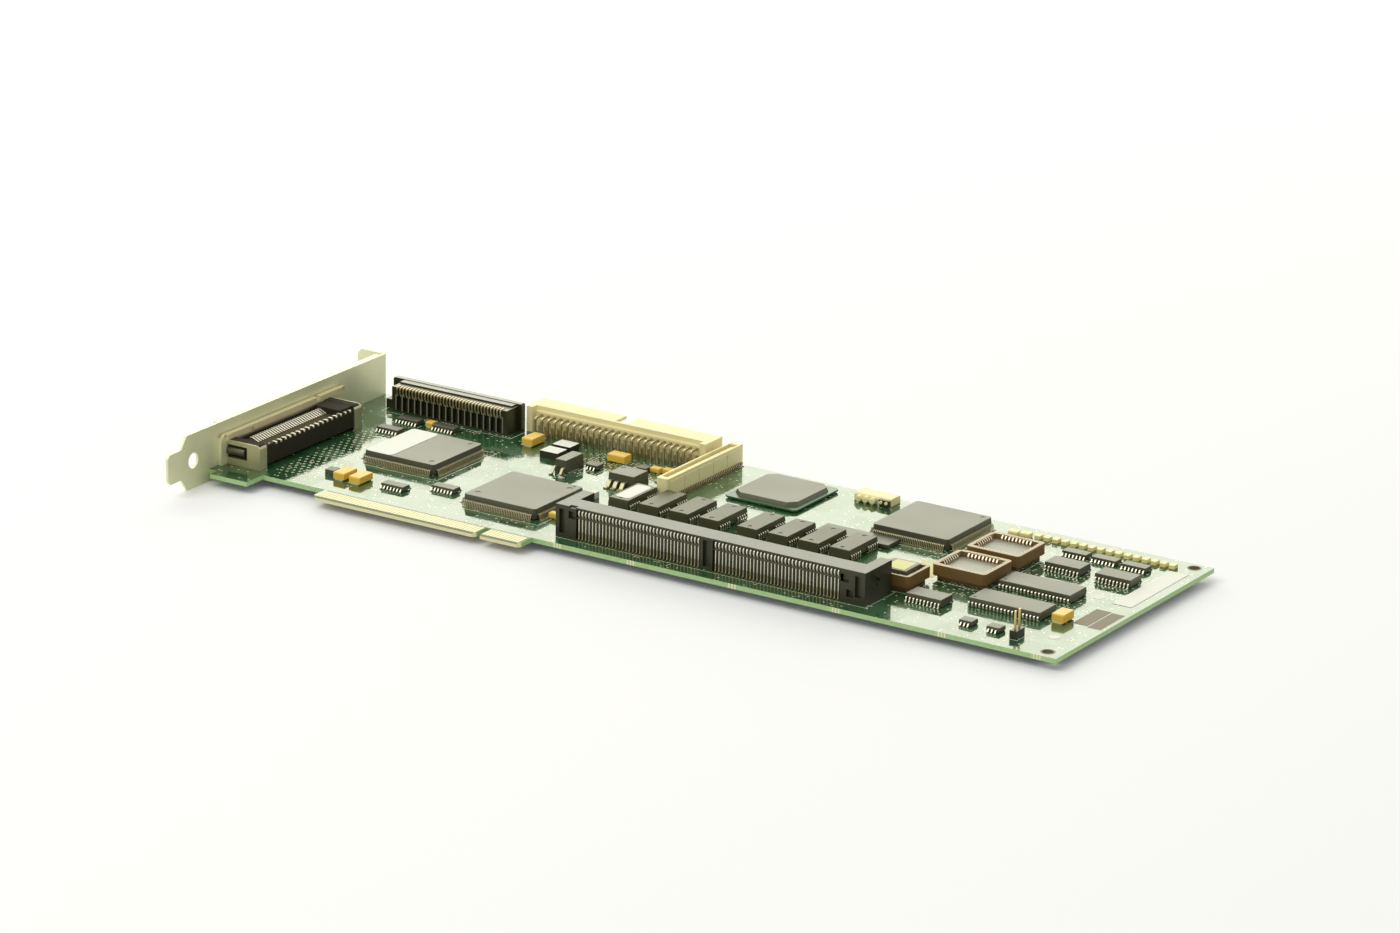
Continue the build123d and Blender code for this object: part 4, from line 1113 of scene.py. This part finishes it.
class CARD_OT_daughter_connector(bpy.types.Operator):
    """Upright daughter board connector with its tails, foot strips and side panels"""

    bl_idname = "card.daughter_connector"
    bl_label = "Daughter connector"

    def execute(self, context):
        node = "daughter_connector_body"
        round_off(node, CHIP_EDGE, ivory_moulding())
        low, high = span(node)
        x, y = middle_and_top(node)[:2]
        reach = (high.x - low.x) / 2
        tail = row(strip(0.4, 0.2, [(0.1, 1.1), (-0.35, 1.1), (-0.6, 0.3), (-1.5, 0.14)]), 42, 1.0)
        tails, bases, panels = [], [], []
        for turn, side in ((90, 1), (-90, -1)):
            face = x + side * reach
            tails.append(twin(tail, turn, (face, y - side * 41 / 2, 0)))
            bases.append(slab((face - 0.25, low.y + 0.6, 0.0), (face + 0.25, high.y - 0.6, 0.9)))
            for index in range(5):
                near = low.y + 1.4 + index * 8.5
                panels.append(slab((face - 0.22, near, 1.6), (face + 0.22, near + 7.7, 5.9)))
        discard(tail)
        complete(join(tails), "daughter_connector_tails", brass_pins())
        complete(bevel(join(bases), 0.08, 1), "daughter_connector_base", dull_moulding())
        complete(bevel(join(panels), 0.08, 2), "daughter_connector_panels", ivory_moulding())
        return {"FINISHED"}


# Module socket, with contact paths as pairs of reach and height

BANK_LEADS = 36
BANK_GAP = 6.35
SOCKET_HOOK = ((1.15, 9.7), (0.65, 9.6), (0.3, 9.2), (0.15, 8.6), (0.25, 8.0), (0.6, 7.5), (0.9, 7.1))
SOCKET_LEG = ((1.0, 7.0), (0.5, 7.0), (0.4, 6.8), (0.4, 2.6), (0.4, 0.9), (0.3, 0.35), (-0.1, 0.14))


class CARD_OT_module_socket(bpy.types.Operator):
    """Memory module socket with its sprung contacts"""

    bl_idname = "card.module_socket"
    bl_label = "Module socket"

    def execute(self, context):
        round_off("module_socket_body", MOULD_EDGE, black_moulding())
        name = "module_socket_contacts"
        near = span("module_socket_body")[0].y
        first = span(name)[0].x + 0.25
        length = (BANK_LEADS - 1) * PITCH
        rows, bars = [], []
        for place in (first, first + length + BANK_GAP):
            leads = [(0.42, 0.0, SOCKET_HOOK, BANK_LEADS, PITCH)]
            for offset, foot in ((0.0, (-1.4, 0.12)), (PITCH, (-0.5, 0.12))):
                leads.append((0.32, offset, (*SOCKET_LEG, foot), BANK_LEADS // 2, WIDE_PITCH))
            for width, offset, bend, count, pitch in leads:
                lead = strip(width, 0.2, [(near + reach, height) for reach, height in bend])
                rows.append(moved(row(lead, count, pitch), 0, (place + offset, 0, 0)))
            bars.append(((place - 0.9, near + 0.35, 6.85), (place + length + 0.9, near + 1.35, 7.45)))
        contacts = complete(join(rows), "module_socket_sprung_contacts", tinned(), (name,))
        repaint(contacts, brass_pins(), lambda face: face.center.z / MM < 2.5)
        bars = join([slab(low, high) for low, high in bars])
        complete(bevel(bars, 0.1, 1), "module_socket_bars", black_moulding())
        return {"FINISHED"}


# Chips, with lead paths as pairs of reach and height

# Places and radii of the round marks on each flat pack
FLAT_PACKS = {
    "bus_interface_chip": ((60.6, 41.2, 0.9), (60.6, 63.2, 0.9)),
    "drive_channel_chip": ((90.3, 24.6, 1.0), (112.0, 44.8, 1.0), (112.2, 47.2, 0.5)),
    "parity_engine_chip": ((234.0, 97.4, 0.7),),
}
FLAT_PITCH = 0.65
FLAT_LEAD = [(0.3, 1.95), (-0.5, 1.95), (-0.75, 1.7), (-1.05, 0.2), (-1.3, 0.09), (-2.0, 0.08)]
MEMORY_LEAD = [(0.2, 2.1), (-0.2, 2.1), (-0.42, 1.8), (-0.42, 0.6), (-0.3, 0.2), (0.3, 0.12)]
STATIC_LEAD = [(0.2, 1.5), (-0.2, 1.5), (-0.4, 1.25), (-0.4, 0.4), (-0.15, 0.12), (0.7, 0.12)]


class CARD_OT_flat_packs(bpy.types.Operator):
    """Three square flat packs with fine leads"""

    bl_idname = "card.flat_packs"
    bl_label = "Flat packs"

    def execute(self, context):
        for node, marks in FLAT_PACKS.items():
            x, y, top = middle_and_top(node)
            cutters = [dimple((*place, top), radius) for *place, radius in marks]
            round_off(node, CHIP_EDGE, chip_epoxy(), 2, cutters)
            lead = strip(FLAT_PITCH * 0.42, 0.14, FLAT_LEAD)
            leads = lead_frame(lead, 40, FLAT_PITCH, x - span(node)[0].x, (x, y), (0, 90, 180, 270))
            complete(leads, node + "_leads", fine_leads())
        low, high = span("bus_interface_chip")
        near, far = (low.x + 0.3, low.y + 0.4, high.z), (low.x + 10.8, high.y - 0.6, high.z + 0.08)
        complete(sticker(near, far, 1.5), "bus_interface_label", label_paper())
        return {"FINISHED"}


class CARD_OT_processor(bpy.types.Operator):
    """Ball grid processor"""

    bl_idname = "card.processor"
    bl_label = "Processor"

    def execute(self, context):
        round_off("processor_substrate", 0.05, green_laminate(), 1)
        round_off("processor_cap", 0.1, chip_epoxy())
        recolor_solid("processor_solder_balls", tinned())
        return {"FINISHED"}


class CARD_OT_memory(bpy.types.Operator):
    """Memory chips with folded leads"""

    bl_idname = "card.memory"
    bl_label = "Memory chips"

    def execute(self, context):
        rows = []
        for number in range(1, 9):
            node = f"memory_chip_{number}"
            x, y, top = middle_and_top(node)
            marks = [dimple((x, y + offset, top), 0.75) for offset in (-6.6, 6.6)]
            round_off(node, CHIP_EDGE, memory_epoxy(), 2, marks)
            for turn in (90, -90):
                for start in (-6 * PITCH, 2 * PITCH):
                    leads = moved(row(strip(0.45, 0.2, MEMORY_LEAD), 5, PITCH), 0, (start, -3.8, 0))
                    rows.append(moved(leads, turn, (x, y, 0)))
        self.paint_shoulder_highlights(complete(join(rows), "memory_chip_folded_leads", fine_leads()))
        rows = []
        for node in ("static_memory_near", "static_memory_far"):
            x, y, top = middle_and_top(node)
            round_off(node, CHIP_EDGE, chip_epoxy(), 2, [dimple((x - 11.2, y - 3.4, top), 0.6)])
            rows.append(lead_frame(strip(0.5, 0.2, STATIC_LEAD), 20, PITCH, 5.15, (x, y), (0, 180)))
        self.paint_shoulder_highlights(complete(join(rows), "static_memory_folded_leads", tinned()))
        low, high = span("memory_chip_1")
        near, far = (low.x + 1.1, low.y + 2.0, high.z), (high.x - 1.1, high.y - 1.3, high.z + 0.06)
        complete(sticker(near, far, 1.4), "memory_chip_label", label_paper())
        return {"FINISHED"}

    def paint_shoulder_highlights(self, leads):
        """Painted highlight: a brighter tin colour on the faces of folded leads that look up."""
        repaint(leads, bright_tin_and_highlight(), lambda face: face.normal.z > 0.4)


# Centres, leads a side, half width and lead height of the logic chips
LOGIC_CHIPS = (
    (((255.2, 28.7), (275.6, 78.4), (293.6, 78.1)), 10, 3.5, 1.4),
    (((24.9, 79.2), (25.2, 67.6), (39.2, 79.6), (60.5, 21.1), (74.9, 28.8)), 7, 1.95, 0.95),
    (((271.6, 91.5), (282.0, 91.7), (292.8, 91.3)), 7, 1.95, 0.95),
    (((275.3, 18.2), (285.0, 18.0), (101.2, 75.4)), 3, 1.95, 0.95),
)
LOGIC_FOOT = ((-0.75, 0.3), (-0.95, 0.13), (-1.4, 0.12))


class CARD_OT_logic(bpy.types.Operator):
    """Logic chips with leads on two sides"""

    bl_idname = "card.logic"
    bl_label = "Logic chips"

    def execute(self, context):
        round_off("wide_logic_chips", 0.1, chip_epoxy())
        round_off("narrow_logic_chips", 0.08, chip_epoxy())
        round_off("small_logic_chips", 0.08, chip_epoxy())
        round_off("thin_flat_chip", 0.06, chip_epoxy())
        rows = []
        for centres, count, half, height in LOGIC_CHIPS:
            bend = [(0.2, height), (-0.3, height), (-0.5, height - 0.2), *LOGIC_FOOT]
            for centre in centres:
                rows.append(lead_frame(strip(0.42, 0.2, bend), count, PITCH, half, centre, (0, 180)))
        complete(join(rows), "logic_chip_leads", tinned())
        return {"FINISHED"}


# Size of each socket's well, its floor's height, and its contacts along X and Y
CHIP_SOCKETS = {
    "chip_socket_front": ((14.4, 12.0), 3.4, (9, 7)),
    "chip_socket_rear": ((14.4, 12.0), 3.4, (9, 7)),
    "chip_socket_side": ((10.0, 10.0), 2.2, (5, 5)),
}
WELL_MARGIN = 0.8


class CARD_OT_chip_sockets(bpy.types.Operator):
    """Chip sockets with their contacts, and the labelled chip"""

    bl_idname = "card.chip_sockets"
    bl_label = "Chip sockets"

    def execute(self, context):
        springs = []
        for node, (well, floor, counts) in CHIP_SOCKETS.items():
            self.dress_socket(node, well, floor)
            place = middle_and_top(node)[:2]
            bend = [(-1.1, 4.95), (-0.75, 4.95), (-0.15, 4.2), (-0.45, floor + 0.15)]
            for count, reach, turns in zip(counts, reversed(well), ((0, 180), (90, 270))):
                springs.append(lead_frame(strip(0.5, 0.15, bend), count, PITCH, reach / 2, place, turns))
        complete(join(springs), "chip_socket_springs", spring_plate())
        round_off("socketed_chip", 0.1, chip_epoxy())
        low, high = span("socketed_chip")
        near, far = (low.x + 1.5, low.y + 1.1, high.z), (high.x - 1.3, high.y - 0.9, high.z + 0.06)
        complete(bevel(slab(near, far), 0.02, 1), "socketed_chip_label", yellow_paper())
        return {"FINISHED"}

    def dress_socket(self, node, well, floor):
        """A rounded socket with its well made wider, and a pale rim and a grey floor painted on as sheen."""
        x, y, top = middle_and_top(node)
        half_x, half_y = (size / 2 + WELL_MARGIN for size in well)
        cut = slab((x - half_x, y - half_y, floor + 0.02), (x + half_x, y + half_y, top + 1.0))
        piece = round_off(node, 0.18, brown_moulding(), 2, [cut])
        rim = (top - 0.3) * MM
        # Painted sheen: the upward faces of the rim and of the well's floor get paler colours than the brown
        # plastic.
        repaint(piece, socket_rim_sheen(), lambda face: face.normal.z > 0.5 and face.center.z > rim)
        repaint(piece, socket_floor_sheen(), lambda face: face.normal.z > 0.9 and 2.0 * MM < face.center.z <= rim)


# Power parts, capacitors and small headers


class CARD_OT_power(bpy.types.Operator):
    """Regulator, transistor, inductors and other block parts"""

    bl_idname = "card.power"
    bl_label = "Power parts"

    def execute(self, context):
        low, high = span("voltage_regulator")
        mark = dimple((low.x + 1.8, high.y - 2.2, high.z), 0.8)
        round_off("voltage_regulator", MOULD_EDGE, chip_epoxy(), 2, [mark])
        round_off("power_transistor", MOULD_EDGE, chip_epoxy())
        round_off("power_leads", CHIP_EDGE, fine_leads())
        inductors = round_off("square_inductors", MOULD_EDGE, black_moulding())
        repaint(inductors, label_paper(), lambda face: face.normal.z > 0.9 and face.center.z / MM > 2.2)
        round_off("small_power_diode", CHIP_EDGE, chip_epoxy())
        round_off("ceramic_filter_block", MOULD_EDGE, white_ceramic())
        return {"FINISHED"}


class CARD_OT_capacitors(bpy.types.Operator):
    """Capacitors and small chip parts"""

    bl_idname = "card.capacitors"
    bl_label = "Capacitors"

    def execute(self, context):
        blocks = round_off("block_capacitors", MOULD_EDGE, amber_resin())
        # Painted highlight: the block capacitors at the far corner get the pale resin colour.
        repaint(blocks, pale_resin_and_highlight(), lambda face: face.center.x / MM > 240 and face.center.y / MM > 90)
        round_off("block_capacitor_terminals", 0.04, tinned(), 1)
        round_off("row_capacitors", CHIP_EDGE, pale_resin_and_highlight())
        round_off("chip_resistors", 0.06, white_ceramic(), 1)
        return {"FINISHED"}


class CARD_OT_small_headers(bpy.types.Operator):
    """Jumper header and low pin header"""

    bl_idname = "card.small_headers"
    bl_label = "Small headers"

    def execute(self, context):
        round_off("jumper_header_base", MOULD_EDGE, black_moulding())
        round_off("jumper_header_pins", 0.1, gold(), 1)
        round_off("status_header_body", MOULD_EDGE, ivory_moulding())
        knobs = []
        for index in range(3):
            knob = disc((188.8 + index * WIDE_PITCH, 96.9, 1.3), 1.1, 2.2, 20, "Y")
            knobs.append(bevel(knob, 0.5, 4))
        complete(join(knobs), "status_header_knobs", ivory_moulding())
        front = bevel(slab((195.9, 96.7, 0.0), (200.0, 97.9, 2.3)), 0.15, 2)
        complete(front, "status_header_block", black_moulding())
        caps = [bevel(disc((x, 96.5, 1.5), 0.55, 0.8, 16, "Y"), 0.15, 2) for x in (197.0, 199.0)]
        complete(join(caps), "status_header_round_pins", ivory_moulding())
        round_off("status_header_pins", 0.05, tinned(), 1)
        return {"FINISHED"}


# Registration

OPERATORS = (
    CARD_OT_stage,
    CARD_OT_board,
    CARD_OT_bracket,
    CARD_OT_rear_connector,
    CARD_OT_wide_connector,
    CARD_OT_ribbon_header,
    CARD_OT_daughter_connector,
    CARD_OT_module_socket,
    CARD_OT_flat_packs,
    CARD_OT_processor,
    CARD_OT_memory,
    CARD_OT_logic,
    CARD_OT_chip_sockets,
    CARD_OT_power,
    CARD_OT_capacitors,
    CARD_OT_small_headers,
)


class CARD_PT_panel(bpy.types.Panel):
    """The card's settings and steps in the sidebar"""

    bl_idname = "CARD_PT_panel"
    bl_label = "Raid controller card"
    bl_space_type = "VIEW_3D"
    bl_region_type = "UI"
    bl_category = "Card"

    def draw(self, context):
        for name in CardSettings.__annotations__:
            self.layout.prop(context.scene.card_settings, name)
        for operator in OPERATORS:
            self.layout.operator(operator.bl_idname)


def register():
    """Registers the settings, the operators and the panel."""
    for known in (CardSettings, *OPERATORS, CARD_PT_panel):
        bpy.utils.register_class(known)
    bpy.types.Scene.card_settings = bpy.props.PointerProperty(type=CardSettings)


def unregister():
    """Removes what register added."""
    del bpy.types.Scene.card_settings
    for known in reversed((CardSettings, *OPERATORS, CARD_PT_panel)):
        bpy.utils.unregister_class(known)


def main():
    """Builds the whole card."""
    register()
    for operator in OPERATORS:
        getattr(bpy.ops.card, operator.bl_idname.split(".")[1])()


if __name__ == "__main__":
    main()
